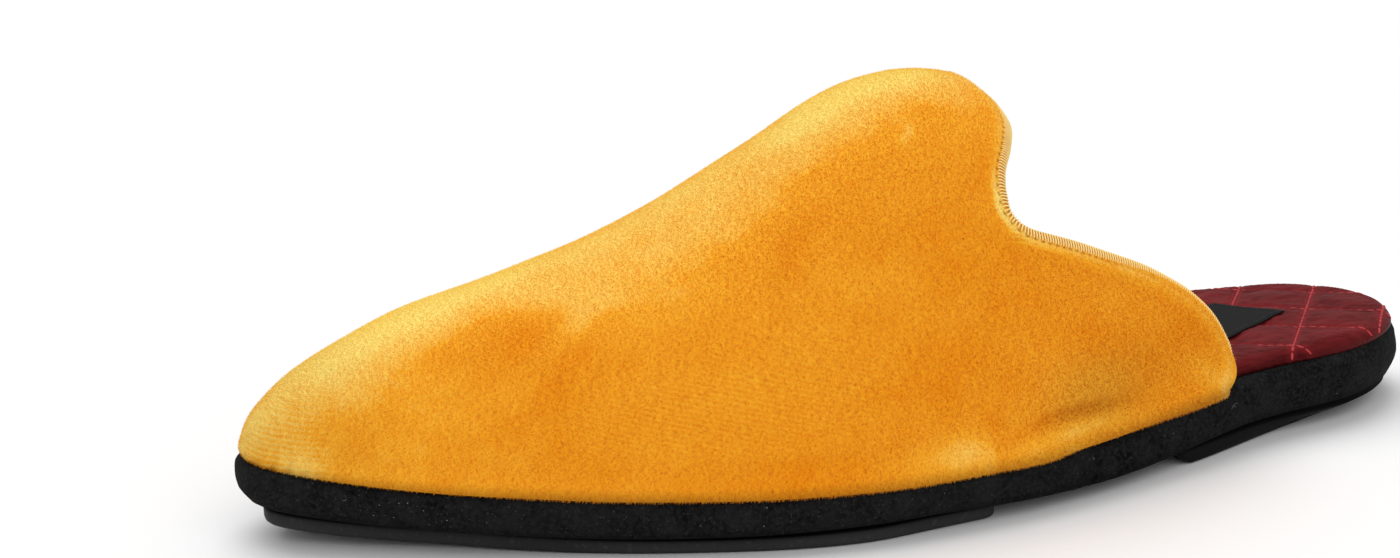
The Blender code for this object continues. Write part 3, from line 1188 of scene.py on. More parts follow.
def grow_pile():
    out_side, back, numbers = velvet_sheet(*PILE_GRID)
    rows, wide = out_side.shape[:2]
    # The roll's inner side, against the sole, grows nothing.
    numbers["growth"][:, :BARE_COLUMNS] = 0.0
    numbers["growth"][:, -BARE_COLUMNS:] = 0.0
    lie = lie_of(out_side)
    group = pile_tree(PILE)
    pieces = []
    for number, (name, row_a, row_b, column_a, column_b) in enumerate(PILE_PARTS):
        part = (slice(round(row_a * (rows - 1)), round(row_b * (rows - 1)) + 1),
                slice(round(column_a * (wide - 1)), round(column_b * (wide - 1)) + 1))
        points = out_side[part]
        high, across = points.shape[:2]
        steps_up = np.linalg.norm(np.diff(points, axis=0), axis=-1)[:, :-1]
        steps_across = np.linalg.norm(np.diff(points, axis=1), axis=-1)[:-1]
        area = float((steps_up * steps_across * numbers["growth"][part][:-1, :-1]).sum())
        guide = guide_mesh(name, points, faces=grid_faces(high, across).tolist(),
                           numbers={key: values[part] for key, values in numbers.items()},
                           vectors={"lie": lie[part]})
        pieces.append(run_tree(guide, group, name, {
            "Density": PILE_TUFTS / area,
            "Length": PILE_LENGTH,
            "Width": PILE_WIDTH,
            "Lean": 0.60,
            "Disorder": 0.36,
            "Seed": 20 + number,
        }))
    return pieces


pile = grow_pile()
for tufts in pile:
    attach(tufts, BODY)
    print(tufts.name, "tufts:", triangles(tufts))

# %% [markdown]
# ## The overlocked edge
#
# The raw edge of the vamp is closed with an overlock stitch: close strands of
# thread that come up through the velvet, cross the edge and go down through the
# lining. One strand is a flattened hoop. Geometry Nodes lays a strand for every
# 0.7 mm or so of the opening, turned to the edge and to the cloth there.


# %% The thread's finish
def thread_finish(name, color, pale):
    finish = Finish(name)
    twist = finish.noise(2600.0, detail=1.0)
    color = finish.mix(twist, color, pale)
    return finish.surface(color, 0.6, 0.3, normal=finish.bump(twist, 0.0001, 0.6))


EDGE_THREAD = thread_finish("gold thread", (1.00, 0.64, 0.150), (1.00, 0.84, 0.400))


# %% A guide line along the opening
GUIDE_POINTS = 700


def edge_guide():
    """Points of the opening's edge, with its outward normals and edge directions."""
    edge = topline_points(GUIDE_POINTS)
    share = topline_shares(GUIDE_POINTS)
    before = upper_point(smooth(TOPLINE, 1, np.abs(share)) - 0.004, share)
    tangent = np.gradient(edge, axis=0)
    tangent /= np.linalg.norm(tangent, axis=1, keepdims=True)
    out = edge - before
    out -= tangent * (out * tangent).sum(1, keepdims=True)
    out /= np.linalg.norm(out, axis=1, keepdims=True)
    normal = np.cross(tangent, out)
    edge = edge - normal * (tongue_drop(share, 0.0) * MM)[:, None]
    hidden = 1.0 - overlock_show(share)
    edge = edge - normal * (0.45 * MM * hidden)[:, None] - out * (0.10 * MM * hidden)[:, None]
    size = np.stack([1.0 - 0.45 * hidden, np.ones_like(hidden), 1.0 - 0.15 * hidden], axis=1)
    return guide_mesh("opening guide", edge, edges=chain(len(edge)),
                      vectors={"normal": normal, "out": out, "size": size})


def strand_tree(finish):
    """Hoops of thread over an edge, a pitch apart along a guide line."""
    sizes = {"Pitch": 0.001, "Reach": 0.002, "Overhang": 0.0003, "Middle": -0.0015, "Half": 0.0006,
             "Taper": 0.0004, "Slant": 0.0003, "Thread": 0.0002}
    group, tree, wire = new_tree("overlock strands", sizes)
    points, _ = points_along(tree, wire["Geometry"], wire["Pitch"])
    ahead, up, _ = tree.parts(tree.node("GeometryNodeInputPosition"))
    inside = (1.0 - ahead) * 0.5
    arch = tree.maths("SIGN", up) * (tree.maths("ABSOLUTE", up) ** 0.5)
    spot = tree.vector(
        wire["Overhang"] - inside * (wire["Reach"] + wire["Overhang"]),
        up * wire["Slant"],
        wire["Middle"] + inside * wire["Taper"] + arch * (wire["Half"] + inside * wire["Taper"]),
    )
    hoop = tree.node("GeometryNodeSetPosition", None, {"Geometry": circle(tree, 16, 1.0), "Position": spot})
    section = circle(tree, 5, wire["Thread"])
    strand = tree.node("GeometryNodeCurveToMesh", None, {"Curve": hoop, "Profile Curve": section})
    normal, out, size = (named(tree, name, "FLOAT_VECTOR") for name in ("normal", "out", "size"))
    turn = tree.node("FunctionNodeAxesToRotation", {"primary_axis": "Z", "secondary_axis": "X"},
                     {0: normal, 1: out})
    end_tree(tree, copies(tree, points, strand, turn, size), finish)
    return group


overlock = run_tree(edge_guide(), strand_tree(EDGE_THREAD), "upper_overlock", {
    "Pitch": NEEDLE_PITCH / 2.6 * MM,
    "Reach": 2.05 * MM,
    "Overhang": 0.20 * MM,
    "Middle": -1.50 * MM,
    "Half": 0.72 * MM,
    "Taper": 0.36 * MM,
    "Slant": 0.15 * MM,
    "Thread": 0.21 * MM,
})
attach(overlock, BODY)

# The vamp and its lining are each cut from one flat piece and pulled over the last.
print("overlock triangles:", triangles(overlock))


# %% [markdown]
# ## The wrapped midsole
#
# The midsole is a thin board and foam core with black suede pulled round its side.
# The core's rounded side is lofted again here, much finer than the solid, because
# the edge of the slipper is seen against a pale floor. Suede is dull and soft, with
# a short nap that holds lint.


# %% Suede finish
def suede_finish():
    finish = Finish("black suede")
    nap = finish.noise(900.0, detail=3.0, roughness=0.65)
    scuff = finish.noise(55.0, detail=4.0, roughness=0.6)
    cloud = finish.noise(150.0, detail=3.0, roughness=0.6)
    dust = finish.ramp(finish.noise(2300.0, detail=0.0), (0.72, 0.0), (0.80, 1.0))
    worn = finish.ramp(scuff, (0.35, 0.0), (0.65, 1.0))
    color = finish.mix(worn, (0.0020, 0.0020, 0.0020), (0.0066, 0.0066, 0.0068))
    color = finish.mix(finish.ramp(cloud, (0.42, 0.0), (0.70, 0.7)), color, (0.0140, 0.0140, 0.0145))
    color = finish.mix(finish.ramp(nap, (0.40, 0.0), (0.68, 0.8)), color, (0.0170, 0.0170, 0.0175))
    # Painted shade: the suede darkens towards the bottom of the wrap, where it meets the rubber.
    color = finish.mix(finish.attribute("low") * 0.75, color, (0.0012, 0.0012, 0.0012))
    color = finish.mix(dust * 0.20, color, (0.12, 0.12, 0.12))
    relief = finish.bump(nap * 0.6 + cloud * 0.4, 0.0006, 0.7)
    return finish.surface(color, 0.95, 0.03, (0.01, 0.5), relief)


SUEDE = suede_finish()

TOE_PUSH = 1.7 * MM
HEEL_TUCK = 0.8 * MM
WAIST_DROP = 0.6 * MM
WAIST_MIDDLE = 0.612
WAIST_REACH = 0.16
RING_STATIONS = 481
RING_LEVELS = 17
MIDSOLE_SIDE = (
    # share of the side's height, inset at toe and heel, inset at the waist
    (0.00, 0.0062, 0.0009),
    (0.08, 0.0034, 0.0003),
    (0.27, 0.0013, 0.0001),
    (0.52, 0.0002, 0.0001),
    (0.72, 0.0000, 0.0000),
    (0.90, 0.0004, 0.0004),
    (1.00, 0.0015, 0.0015),
)
WRAP_FOLDS = (
    # station, share of the side's height, reach along, reach up (share), push outwards (mm)
    (0.513, 0.22, 0.010, 0.22, -0.55),
    (0.540, 0.28, 0.012, 0.22, 0.40),
    (0.500, 0.35, 0.010, 0.20, 0.25),
    (0.090, 0.30, 0.020, 0.30, -0.20),
    (0.660, 0.60, 0.020, 0.25, -0.18),
    (0.820, 0.25, 0.016, 0.20, 0.20),
    (0.905, 0.30, 0.014, 0.25, -0.25),
)


# %% Loft rings round the foot
def both_edges(along, inset):
    """Plan of the foot's outline at an inset, as its outer and its inner edge."""
    return [np.stack(outline(along, side, inset), axis=1) for side in (1, -1)]


def ring(along, inset, height):
    """Ring of points round the foot at one inset and one height function."""
    outer, inner = ([*edge.T, height(edge[:, 1])] for edge in both_edges(along, inset))
    return np.concatenate([np.stack(outer, axis=1), np.stack(inner, axis=1)[::-1]])


def loft(name, rings, finish, numbers=None):
    """Solid through rings of paired points, closed across at top and bottom."""
    count = len(rings[0])
    pair = np.arange(count // 2 - 1)
    last = (len(rings) - 1) * count
    faces = [
        tube_faces(len(rings), count),
        np.stack([count - 1 - pair, count - 2 - pair, pair + 1, pair], axis=1),
        last + np.stack([pair, pair + 1, count - 2 - pair, count - 1 - pair], axis=1),
    ]
    piece = add_mesh(name, np.concatenate(rings), np.concatenate(faces), finish, weld_doubles=False)
    set_numbers(piece, numbers)
    weld(piece)
    return piece


def wrap_relief(along, share):
    """How far the suede stands off its core at one share of the side's height (m)."""
    y = along * LENGTH / MM
    push = 0.10 * np.sin(y * 0.37 + 5.0 * share) * np.sin(y * 0.113 + 2.0)
    for at_station, at_share, reach_along, reach_up, strength in WRAP_FOLDS:
        away = ((along - at_station) / reach_along) ** 2 + ((share - at_share) / reach_up) ** 2
        push = push + strength * np.exp(-away)
    return push * MM * math.sin(math.pi * share)


def waist_drop(y):
    """How much lower the wrap hangs under the waist."""
    return WAIST_DROP * soft_bump(y / LENGTH + 0.5 - WAIST_MIDDLE, WAIST_REACH) ** 0.5


def make_midsole():
    along = stations(0.0, 1.0, RING_STATIONS)
    waist = soft_bump(along - WAIST_MIDDLE, WAIST_REACH) ** 0.5
    toe = soft_bump(along, 0.05)
    heel = soft_bump(along - 1.0, 0.10)
    rings = []
    low = []
    for share in 0.5 - 0.5 * np.cos(np.linspace(0.0, math.pi, RING_LEVELS)):
        inset = smooth(MIDSOLE_SIDE, 1, share) * (1.0 - waist) + smooth(MIDSOLE_SIDE, 2, share) * waist
        inset = inset - np.minimum(wrap_relief(along, share), 0.3 * MM)
        inset = inset - TOE_PUSH * toe * min(0.6 + share, 1.0)
        inset = inset + HEEL_TUCK * heel * min(max(share / 0.3 - 1.6, 0.0), 1.0)

        def level(y, share=share):
            return (underside(y) - waist_drop(y)) * (1.0 - share) + deck(y) * share

        rings.append(ring(along, inset, level))
        # Painted shade on the lowest part of the wrap, which the suede's finish darkens.
        low.append(np.full(len(rings[-1]), fraction(1.0 - share / 0.30)))
    return loft("midsole_suede", rings, SUEDE, {"low": np.concatenate(low)})


midsole = make_midsole()
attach(midsole, BODY)
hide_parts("midsole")
print("midsole triangles:", triangles(midsole))


# %% [markdown]
# ## The rubber units
#
# Two thin moulded units are glued under the ball and the heel and leave the waist
# free. Each is a flat slab, lofted from rings as the midsole was. The forefoot unit
# has an upright side and a rounded end and follows the toe spring upwards. The heel
# unit's side leans out to meet the suede, and its front thins out under the waist.


# %% Rubber finish and the two units
def rubber_finish():
    finish = Finish("black rubber")
    skin = finish.noise(420.0, detail=3.0)
    scuff = finish.noise(36.0, detail=3.0)
    chalk = finish.ramp(finish.noise(700.0, detail=2.0), (0.60, 0.0), (0.75, 1.0))
    color = finish.mix(scuff, (0.016, 0.016, 0.017), (0.040, 0.040, 0.042))
    color = finish.mix(chalk * 0.25, color, (0.10, 0.10, 0.10))
    # Painted shade: the rubber darkens near the midsole and, on the heel unit, under the waist.
    color = finish.mix(finish.attribute("dark"), color, (0.0012, 0.0012, 0.0012))
    return finish.surface(color, scuff * 0.12 + 0.55, 0.10, normal=finish.bump(skin, 0.0001, 0.35))


RUBBER = rubber_finish()
FOREFOOT_THICKNESS = 3.7 * MM
FOREFOOT_END = 0.517
HEEL_START = 0.688
HEEL_TOP_INSET = 3.2 * MM
HEEL_TAPER = 7.0 * MM
HEEL_ROLL = 2.4 * MM
CORNER_RADIUS = 5.0 * MM
UNIT_EDGE = (
    # station, inset of the rubber's lower edge from the midsole's outline
    (0.00, 0.0038),
    (0.035, 0.0058),
    (0.075, 0.0070),
    (0.115, 0.0077),
    (0.15, 0.0068),
    (0.19, 0.0061),
    (0.23, 0.0054),
    (0.31, 0.0045),
    (0.36, 0.0037),
    (0.40, 0.0036),
    (0.45, 0.0048),
    (0.52, 0.0048),
    (0.60, 0.0040),
    (0.70, 0.0026),
    (0.73, 0.0029),
    (0.77, 0.0039),
    (0.81, 0.0054),
    (0.84, 0.0069),
    (0.88, 0.0084),
    (0.92, 0.0080),
    (0.96, 0.0066),
    (1.00, 0.0056),
)
GLUE_GAP = 0.1 * MM
UNIT_STATIONS = 241
SIDE_STEPS = (
    # inset, height and most share of the thickness, from the foot of the side up
    (1.5 * MM, 0.00 * MM, 0.00),
    (0.7 * MM, 0.14 * MM, 0.06),
    (0.2 * MM, 0.50 * MM, 0.18),
    (0.0 * MM, 1.10 * MM, 0.36),
)


def round_in(distance, radius):
    """How far a rounded corner draws in at a distance from the cut end."""
    left = np.clip(radius - distance, 0.0, radius)
    return radius - np.sqrt(radius * radius - left * left)


def forefoot_floor(y):
    return np.maximum(underside(y) - FOREFOOT_THICKNESS, 0.0)


def unit_rings(along, floor, cut, top_inset):
    """Rings of a rubber unit from its rounded foot up to the midsole."""
    corner = round_in(np.abs(along - cut) * LENGTH, CORNER_RADIUS)
    edge = smooth(UNIT_EDGE, 1, along)
    lean = edge - top_inset if top_inset else 0.0

    def top(y):
        return underside(y) - waist_drop(y) - GLUE_GAP

    rings = []
    for inset, rise, most in SIDE_STEPS:
        def foot(y, rise=rise, most=most):
            return floor(y) + np.minimum(rise, most * (top(y) - floor(y)))

        rings.append(ring(along, edge + corner + inset, foot))
    for share in (0.55, 0.78, 1.0):
        def side(y, share=share):
            return floor(y) * (1.0 - share) + top(y) * share

        rings.append(ring(along, edge + corner - lean * share, side))
    return rings


def heel_floor(y):
    """The heel unit stands on the floor, and its front rises to the waist."""
    share = fraction((y - (HEEL_START - 0.5) * LENGTH) / HEEL_TAPER)
    share = share * share * (3.0 - 2.0 * share)
    roll = fraction((y / LENGTH - 0.27) / 0.18)
    return (underside(y) - waist_drop(y) - 0.4 * MM) * (1.0 - share) + HEEL_ROLL * roll * roll


def unit_shade(points, level, cut, heel_unit):
    """How dark the rubber is on one ring: near the midsole, and in front of the heel."""
    if not heel_unit:
        return np.full(len(points), fraction((level - 3.0) / 3.0) ** 3.0)
    front = fraction(1.0 - (points[:, 1] / LENGTH + 0.5 - cut) / 0.09)
    return np.maximum(fraction((level - 1.0) / 2.0), np.minimum(front * 1.6, 1.0))


def make_unit(name, first, last, floor, cut, top_inset):
    rings = unit_rings(stations(first, last, UNIT_STATIONS), floor, cut, top_inset)
    dark = [unit_shade(points, level, cut, top_inset > 0.0) for level, points in enumerate(rings)]
    return loft(name, rings, RUBBER, {"dark": np.concatenate(dark)})


forefoot = make_unit("outsole_forefoot_rubber", 0.0, FOREFOOT_END, forefoot_floor, FOREFOOT_END, 0.0)
heel = make_unit("outsole_heel_rubber", HEEL_START, 1.0, heel_floor, HEEL_START, HEEL_TOP_INSET)
for unit, node, slot in (
    (forefoot, "outsole_forefoot", "forefoot_rubber"),
    (heel, "outsole_heel", "heel_rubber"),
):
    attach(unit, BODY)
    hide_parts(node)
    print(node, "triangles:", triangles(unit))

# %% [markdown]
# ## The quilted insole
#
# The insole is satin over a thin pad, stitched through on a square grid that lies
# askew to the foot. The satin is blown up a little by the cloth simulation, held at
# the rim and along the seams, so that each square puffs as a real one does. The
# seams are pressed in afterwards, because they are narrower than the grid that the
# simulation runs on.

# %% Insole sizes and the seam grid
INSOLE_EDGE = (
    # station, inset from the midsole's outline
    (0.00, 0.0085),
    (0.04, 0.0068),
    (0.10, 0.0054),
    (0.18, 0.0050),
    (0.35, 0.0049),
    (0.60, 0.0049),
    (0.77, 0.0048),
    (0.81, 0.0032),
    (0.85, 0.0018),
    (0.91, 0.0014),
    (1.00, 0.0019),
)
PAD_THICKNESS = 3.3 * MM
PAD_PUFF = 0.45 * MM
PUFF_CAP = 1.0 * MM
PUFF_PRESSURE = 4.0
PUFF_FRAMES = 20
PAD_GAP = 0.15 * MM
RIM_RADIUS = 3.2 * MM
STITCH_CLEAR = 1.6 * MM
SATIN_GRID = (241, 61)
SEAM_TURN = math.radians(48.5)
SEAM_START = (25.2 * MM, 123.4 * MM)
CROSS_PITCH = 18.5 * MM
LONG_PITCH = 18.0 * MM


def seam_coordinates(x, y):
    """Position in the seam grid: pitches from a cross seam and from a long seam."""
    dx = x - SEAM_START[0]
    dy = y - SEAM_START[1]
    across = dx * math.cos(SEAM_TURN) + dy * math.sin(SEAM_TURN)
    along = -dx * math.sin(SEAM_TURN) + dy * math.cos(SEAM_TURN)
    return across / CROSS_PITCH, along / LONG_PITCH


def seam_distance(x, y):
    """Distance to the nearest seam, in metres."""
    a, b = seam_coordinates(x, y)
    to_cross = np.abs(a - np.round(a)) * CROSS_PITCH
    to_long = np.abs(b - np.round(b)) * LONG_PITCH
    return np.minimum(to_cross, to_long)


def insole_rim(count):
    """Plan of the insole's rim, as its outer and its inner edge."""
    along = stations(0.0, 1.0, count)
    return both_edges(along, smooth(INSOLE_EDGE, 1, along))


RIM_OUTER, RIM_INNER = insole_rim(601)
rim_tree = nearest_tree(np.pad(np.concatenate([RIM_OUTER, RIM_INNER]), ((0, 0), (0, 1))))


def rim_distance(x, y):
    """Distance to the insole's rim in plan, in metres."""
    found = [rim_tree.find((px, py, 0.0))[2] for px, py in zip(np.ravel(x), np.ravel(y))]
    return np.array(found).reshape(np.shape(x))


def insole_height(x, y, rim):
    """Height of the satin over the deck before it is blown up."""
    side = fraction(rim / RIM_RADIUS)
    body = PAD_THICKNESS * np.sqrt(fraction(1.0 - (1.0 - side) ** 2))
    a, b = seam_coordinates(x, y)
    puff = np.abs(np.sin(math.pi * a) * np.sin(math.pi * b)) ** 0.5
    return body + side ** 0.7 * PAD_PUFF * puff


def seam_dip(x, y, height, rim):
    """How deep the stitched seams are pressed into satin of a certain height."""
    near = np.exp(-(seam_distance(x, y) / (0.8 * MM)) ** 2)
    return np.minimum(0.55 * MM * near, 0.6 * height) * np.clip(rim / (7.0 * MM), 0.2, 1.0)


def satin_grid(rows, columns):
    """Points of the flat insole's top as a grid from the inner to the outer rim."""
    outer, inner = insole_rim(rows)
    across = 0.5 - 0.5 * np.cos(np.linspace(0.0, math.pi, columns))
    plan = inner[:, None] * (1.0 - across[:, None]) + outer[:, None] * across[:, None]
    x = plan[..., 0]
    y = plan[..., 1]
    rim = rim_distance(x, y)
    rim[:, 0] = 0.0
    rim[:, -1] = 0.0
    return np.stack([x, y, deck(y) + PAD_GAP + insole_height(x, y, rim)], axis=-1), rim


# %% Blow up the satin
def finer(grid):
    """The same grid with one more point between each two, on a smooth curve."""
    for axis in (0, 1):
        grid = np.moveaxis(grid, axis, 0)
        ends = np.concatenate([2.0 * grid[:1] - grid[1:2], grid, 2.0 * grid[-1:] - grid[-2:-1]])
        doubled = np.empty((2 * len(grid) - 1, *grid.shape[1:]))
        doubled[0::2] = grid
        doubled[1::2] = (9.0 * (ends[1:-2] + ends[2:-1]) - ends[:-3] - ends[3:]) / 16.0
        grid = np.moveaxis(doubled, 0, axis)
    return grid


def blow_up(grid, hold):
    """Run the cloth simulation on a grid of points; hold is how firmly each is kept."""
    rows, columns = hold.shape
    faces = grid_faces(rows, columns)
    cloth_piece = add_mesh("satin for the simulation", grid, faces, None, weld_doubles=False)
    group = cloth_piece.vertex_groups.new(name="hold")
    for number, weight in enumerate(hold.ravel()):
        group.add([number], float(weight), "REPLACE")
    modifier = cloth_piece.modifiers.new("Cloth", "CLOTH")
    settings = modifier.settings
    settings.vertex_group_mass = "hold"
    settings.use_pressure = True
    settings.uniform_pressure_force = PUFF_PRESSURE
    settings.shrink_min = -0.012
    settings.bending_stiffness = 0.1
    settings.effector_weights.gravity = 0.0
    modifier.collision_settings.use_collision = False
    modifier.point_cache.frame_start = 1
    modifier.point_cache.frame_end = PUFF_FRAMES
    scene = bpy.context.scene
    for frame_number in range(1, PUFF_FRAMES + 1):
        scene.frame_set(frame_number)
    apply_modifiers(cloth_piece)
    moved = np.empty(rows * columns * 3)
    cloth_piece.data.vertices.foreach_get("co", moved)
    bpy.data.objects.remove(cloth_piece, do_unlink=True)
    scene.frame_set(1)
    moved = moved.reshape(grid.shape) - grid
    length = np.linalg.norm(moved, axis=-1, keepdims=True)
    print(f"satin moved up to {length.max() / MM:.2f} mm before the cap")
    return moved * (PUFF_CAP * np.tanh(length / PUFF_CAP) / np.maximum(length, 1e-9))


# %% Satin finish
def satin_finish():
    finish = Finish("burgundy satin")
    seam = finish.attribute("seam")
    slub = finish.noise(620.0, detail=3.0, stretch=(1.0, 0.16, 1.0), roughness=0.6)
    weave = finish.noise(2600.0, detail=1.0, stretch=(1.0, 0.3, 1.0))
    clouds = finish.noise(60.0, detail=2.0, distortion=0.5)
    streak = finish.ramp(slub, (0.36, 0.0), (0.66, 1.0))
    cloud = finish.ramp(clouds, (0.35, 0.0), (0.65, 1.0))
    color = finish.mix(cloud, (0.078, 0.0038, 0.0050), (0.155, 0.0092, 0.0108))
    color = finish.mix(streak * 0.55, color, (0.240, 0.0240, 0.0250))
    color = finish.mix(weave * 0.25, color, (0.030, 0.0020, 0.0028))
    color = finish.mix(seam * 0.5, color, (0.26, 0.018, 0.022))
    # Painted shade: the satin darkens down the side of the pad towards the rim.
    color = finish.mix(finish.attribute("side") * 0.75, color, (0.030, 0.0016, 0.0020))
    return finish.surface(color, 0.50, 0.04, normal=finish.bump(slub * 0.7 + weave * 0.3, 0.0003, 0.6))


SATIN = satin_finish()


# %% Make the insole
def make_insole():
    grid, rim = satin_grid(*SATIN_GRID)
    free = fraction(rim / (4.0 * MM) - 0.4)
    seams_held = np.exp(-(seam_distance(grid[..., 0], grid[..., 1]) / (0.9 * MM)) ** 2)
    grid = grid + blow_up(grid, np.maximum(seams_held, 1.0 - free))
    top = finer(grid)
    rim = finer(rim[..., None])[..., 0]
    rows, columns = rim.shape
    x, y = top[..., 0], top[..., 1]
    base = deck(y) + PAD_GAP
    height = np.maximum(top[..., 2] - base, 0.0)
    top[..., 2] = base + height - seam_dip(x, y, height, rim)
    bottom = np.stack([x[:, [0, -1]], y[:, [0, -1]], base[:, [0, -1]]], axis=-1)
    faces = [grid_faces(rows, columns), grid_faces(rows, 2, rows * columns)[:, ::-1]]
    points = np.concatenate([top.reshape(-1, 3), bottom.reshape(-1, 3)])
    piece = add_mesh("insole_satin", points, np.concatenate(faces), SATIN, weld_doubles=False)
    seam = np.exp(-(seam_distance(x, y) / (1.1 * MM)) ** 2)
    # Painted shade down the side of the pad, where the satin is low.
    side = fraction(1.0 - height / (0.92 * PAD_THICKNESS)) ** 0.7
    set_numbers(piece, {"seam": np.concatenate([seam.ravel(), np.zeros(rows * 2)]),
                        "side": np.concatenate([side.ravel(), np.ones(rows * 2)])})
    weld(piece, 0.00002, turn_out=True)
    return piece


insole = make_insole()
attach(insole, BODY)
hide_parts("insole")
print("insole triangles:", triangles(insole))

# %% [markdown]
# ## The seams of the insole
#
# The seams are sewn with a brighter red thread. Each seam line is walked across the
# pad, only its stretch inside the rim is kept, and Geometry Nodes lays a short
# stitch of thread every few millimetres, pressed into the groove.

# %% Walk the seams
SEAM_THREAD = thread_finish("red thread", (0.34, 0.016, 0.024), (0.55, 0.050, 0.055))


def height_finder(piece):
    """A function that gives the height of a piece's top at places in plan."""
    mesh = piece.data
    tree = BVHTree.FromPolygons([vertex.co for vertex in mesh.vertices],
                                [face.vertices for face in mesh.polygons])

    def height_at(x, y):
        places = zip(np.ravel(x), np.ravel(y))
        hits = [tree.ray_cast(Vector((px, py, 1.0)), Vector((0.0, 0.0, -1.0)))[0] for px, py in places]
        return np.array([hit.z if hit else math.nan for hit in hits]).reshape(np.shape(x))

    return height_at


satin_height = height_finder(insole)


def inside_rim(x, y):
    """Whether points lie inside the insole's rim, by its width at their station."""
    outer = np.interp(y, RIM_OUTER[:, 1], RIM_OUTER[:, 0])
    inner = np.interp(y, RIM_INNER[:, 1], RIM_INNER[:, 0])
    clear = rim_distance(x, y) > np.where(2.0 * x > outer + inner, 0.3 * MM, STITCH_CLEAR)
    return clear & (x < outer) & (x > inner) & (y > RIM_OUTER[0, 1]) & (y < RIM_OUTER[-1, 1])


def seam_lines():
    """Each seam's points on the satin, as a list of runs."""
    runs = []
    walk = np.arange(-0.40, 0.40, 0.5 * MM)
    for long_seam in (True, False):
        for number in range(-18, 19):
            across = walk if long_seam else number * CROSS_PITCH
            along = number * LONG_PITCH if long_seam else walk
            x, y = turned_place(SEAM_START, SEAM_TURN, across, along)
            keep = inside_rim(x, y)
            if keep.sum() < 12:
                continue
            line = np.stack([x[keep], y[keep], satin_height(x[keep], y[keep]) + 0.10 * MM], axis=1)
            runs.append(line[np.isfinite(line[:, 2])])
    return runs


def stitch_tree(finish):
    """Short capsules of thread, a pitch apart along guide lines."""
    group, tree, wire = new_tree("seam stitches", {"Pitch": 0.003, "Length": 0.0024, "Thread": 0.0003})
    points, rotation = points_along(tree, wire["Geometry"], wire["Pitch"])
    stitch = tree.node("GeometryNodeMeshUVSphere", None, {"Segments": 6, "Rings": 5, "Radius": 1.0})
    size = tree.vector(wire["Thread"] * 1.25, wire["Thread"], wire["Length"] * 0.5)
    end_tree(tree, copies(tree, points, stitch, rotation, size), finish)
    return group


def runs_guide(name, runs):
    """One guide mesh that holds several separate chains."""
    edges = []
    start = 0
    for run in runs:
        edges += chain(len(run), start)
        start += len(run)
    return guide_mesh(name, np.concatenate(runs), edges=edges)


seams = run_tree(runs_guide("seam guide", seam_lines()), stitch_tree(SEAM_THREAD),
                 "insole_stitches", {"Pitch": 2.3 * MM, "Length": 2.1 * MM, "Thread": 0.3 * MM})
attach(seams, BODY)
print("seam triangles:", triangles(seams))


# %% [markdown]
# ## The label
#
# A small black label is sewn flat on the insole. It is left bare. It is a thin
# woven strip, drawn as a grid that is drawn tight over the puffs: each point moves
# to the middle of its neighbours until it meets the satin below. A fine hem stitch
# in black thread runs round it, a little in from its edge.

# %% Label finish and piece
LABEL_LENGTH = 45.0 * MM
LABEL_WIDTH = 20.0 * MM
LABEL_TURN = math.radians(24.8)
LABEL_THICKNESS = 0.35 * MM
LABEL_HEM = 1.3 * MM
LABEL_GRID = (73, 37)
TIGHT_STEPS = 400
label_low, label_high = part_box("label")
LABEL_SHIFT = 3.2 * MM
LABEL_MIDDLE = ((label_low[0] + label_high[0]) / 2.0 - LABEL_SHIFT * math.sin(LABEL_TURN),
                (label_low[1] + label_high[1]) / 2.0 + LABEL_SHIFT * math.cos(LABEL_TURN))


def label_finish():
    finish = Finish("black woven label")
    inputs = {"Vector": finish.place, "Rotation": (0.0, 0.0, -LABEL_TURN)}
    across, along, _ = finish.parts(finish.node("ShaderNodeMapping", None, inputs))
    warp = finish.maths("COSINE", across * (2.0 * math.pi / (0.45 * MM))) * 0.5 + 0.5
    weft = finish.maths("COSINE", along * (2.0 * math.pi / (0.60 * MM))) * 0.5 + 0.5
    weave = warp * weft * 0.6 + finish.noise(2400.0, detail=1.0) * 0.4
    color = finish.mix(weave, (0.0035, 0.0035, 0.0038), (0.0150, 0.0150, 0.0160))
    return finish.surface(color, 0.8, 0.12, normal=finish.bump(warp * 0.5 + weft * 0.5, 0.00012, 0.6))


LABEL = label_finish()


def label_place(across, along):
    """Plan position of a place on the label."""
    return turned_place(LABEL_MIDDLE, LABEL_TURN, across, along)


def drawn_tight(ground, steps):
    """Heights of a cloth drawn tight over the ground, as a grid."""
    cloth = ground.copy()
    for step in range(steps):
        wide = np.pad(cloth, 1, mode="edge")
        middle = (wide[:-2, 1:-1] + wide[2:, 1:-1] + wide[1:-1, :-2] + wide[1:-1, 2:]) / 4.0
        cloth = np.maximum(middle, ground)
    return cloth


def make_label():
    along, across = np.meshgrid(np.linspace(-0.5, 0.5, LABEL_GRID[0]) * LABEL_LENGTH,
                                np.linspace(-0.5, 0.5, LABEL_GRID[1]) * LABEL_WIDTH, indexing="ij")
    x, y = label_place(across, along)
    z = drawn_tight(satin_height(x, y) + 0.08 * MM, TIGHT_STEPS)
    piece = add_mesh("label_woven", np.stack([x, y, z], axis=-1), grid_faces(*LABEL_GRID), LABEL)
    thicken(piece, LABEL_THICKNESS, 1.0)
    return piece


label = make_label()
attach(label, BODY)
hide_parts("label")
print("label triangles:", triangles(label))

# %% Hem stitch of the label
BLACK_THREAD = thread_finish("black thread", (0.006, 0.006, 0.006), (0.022, 0.022, 0.023))
label_height = height_finder(label)


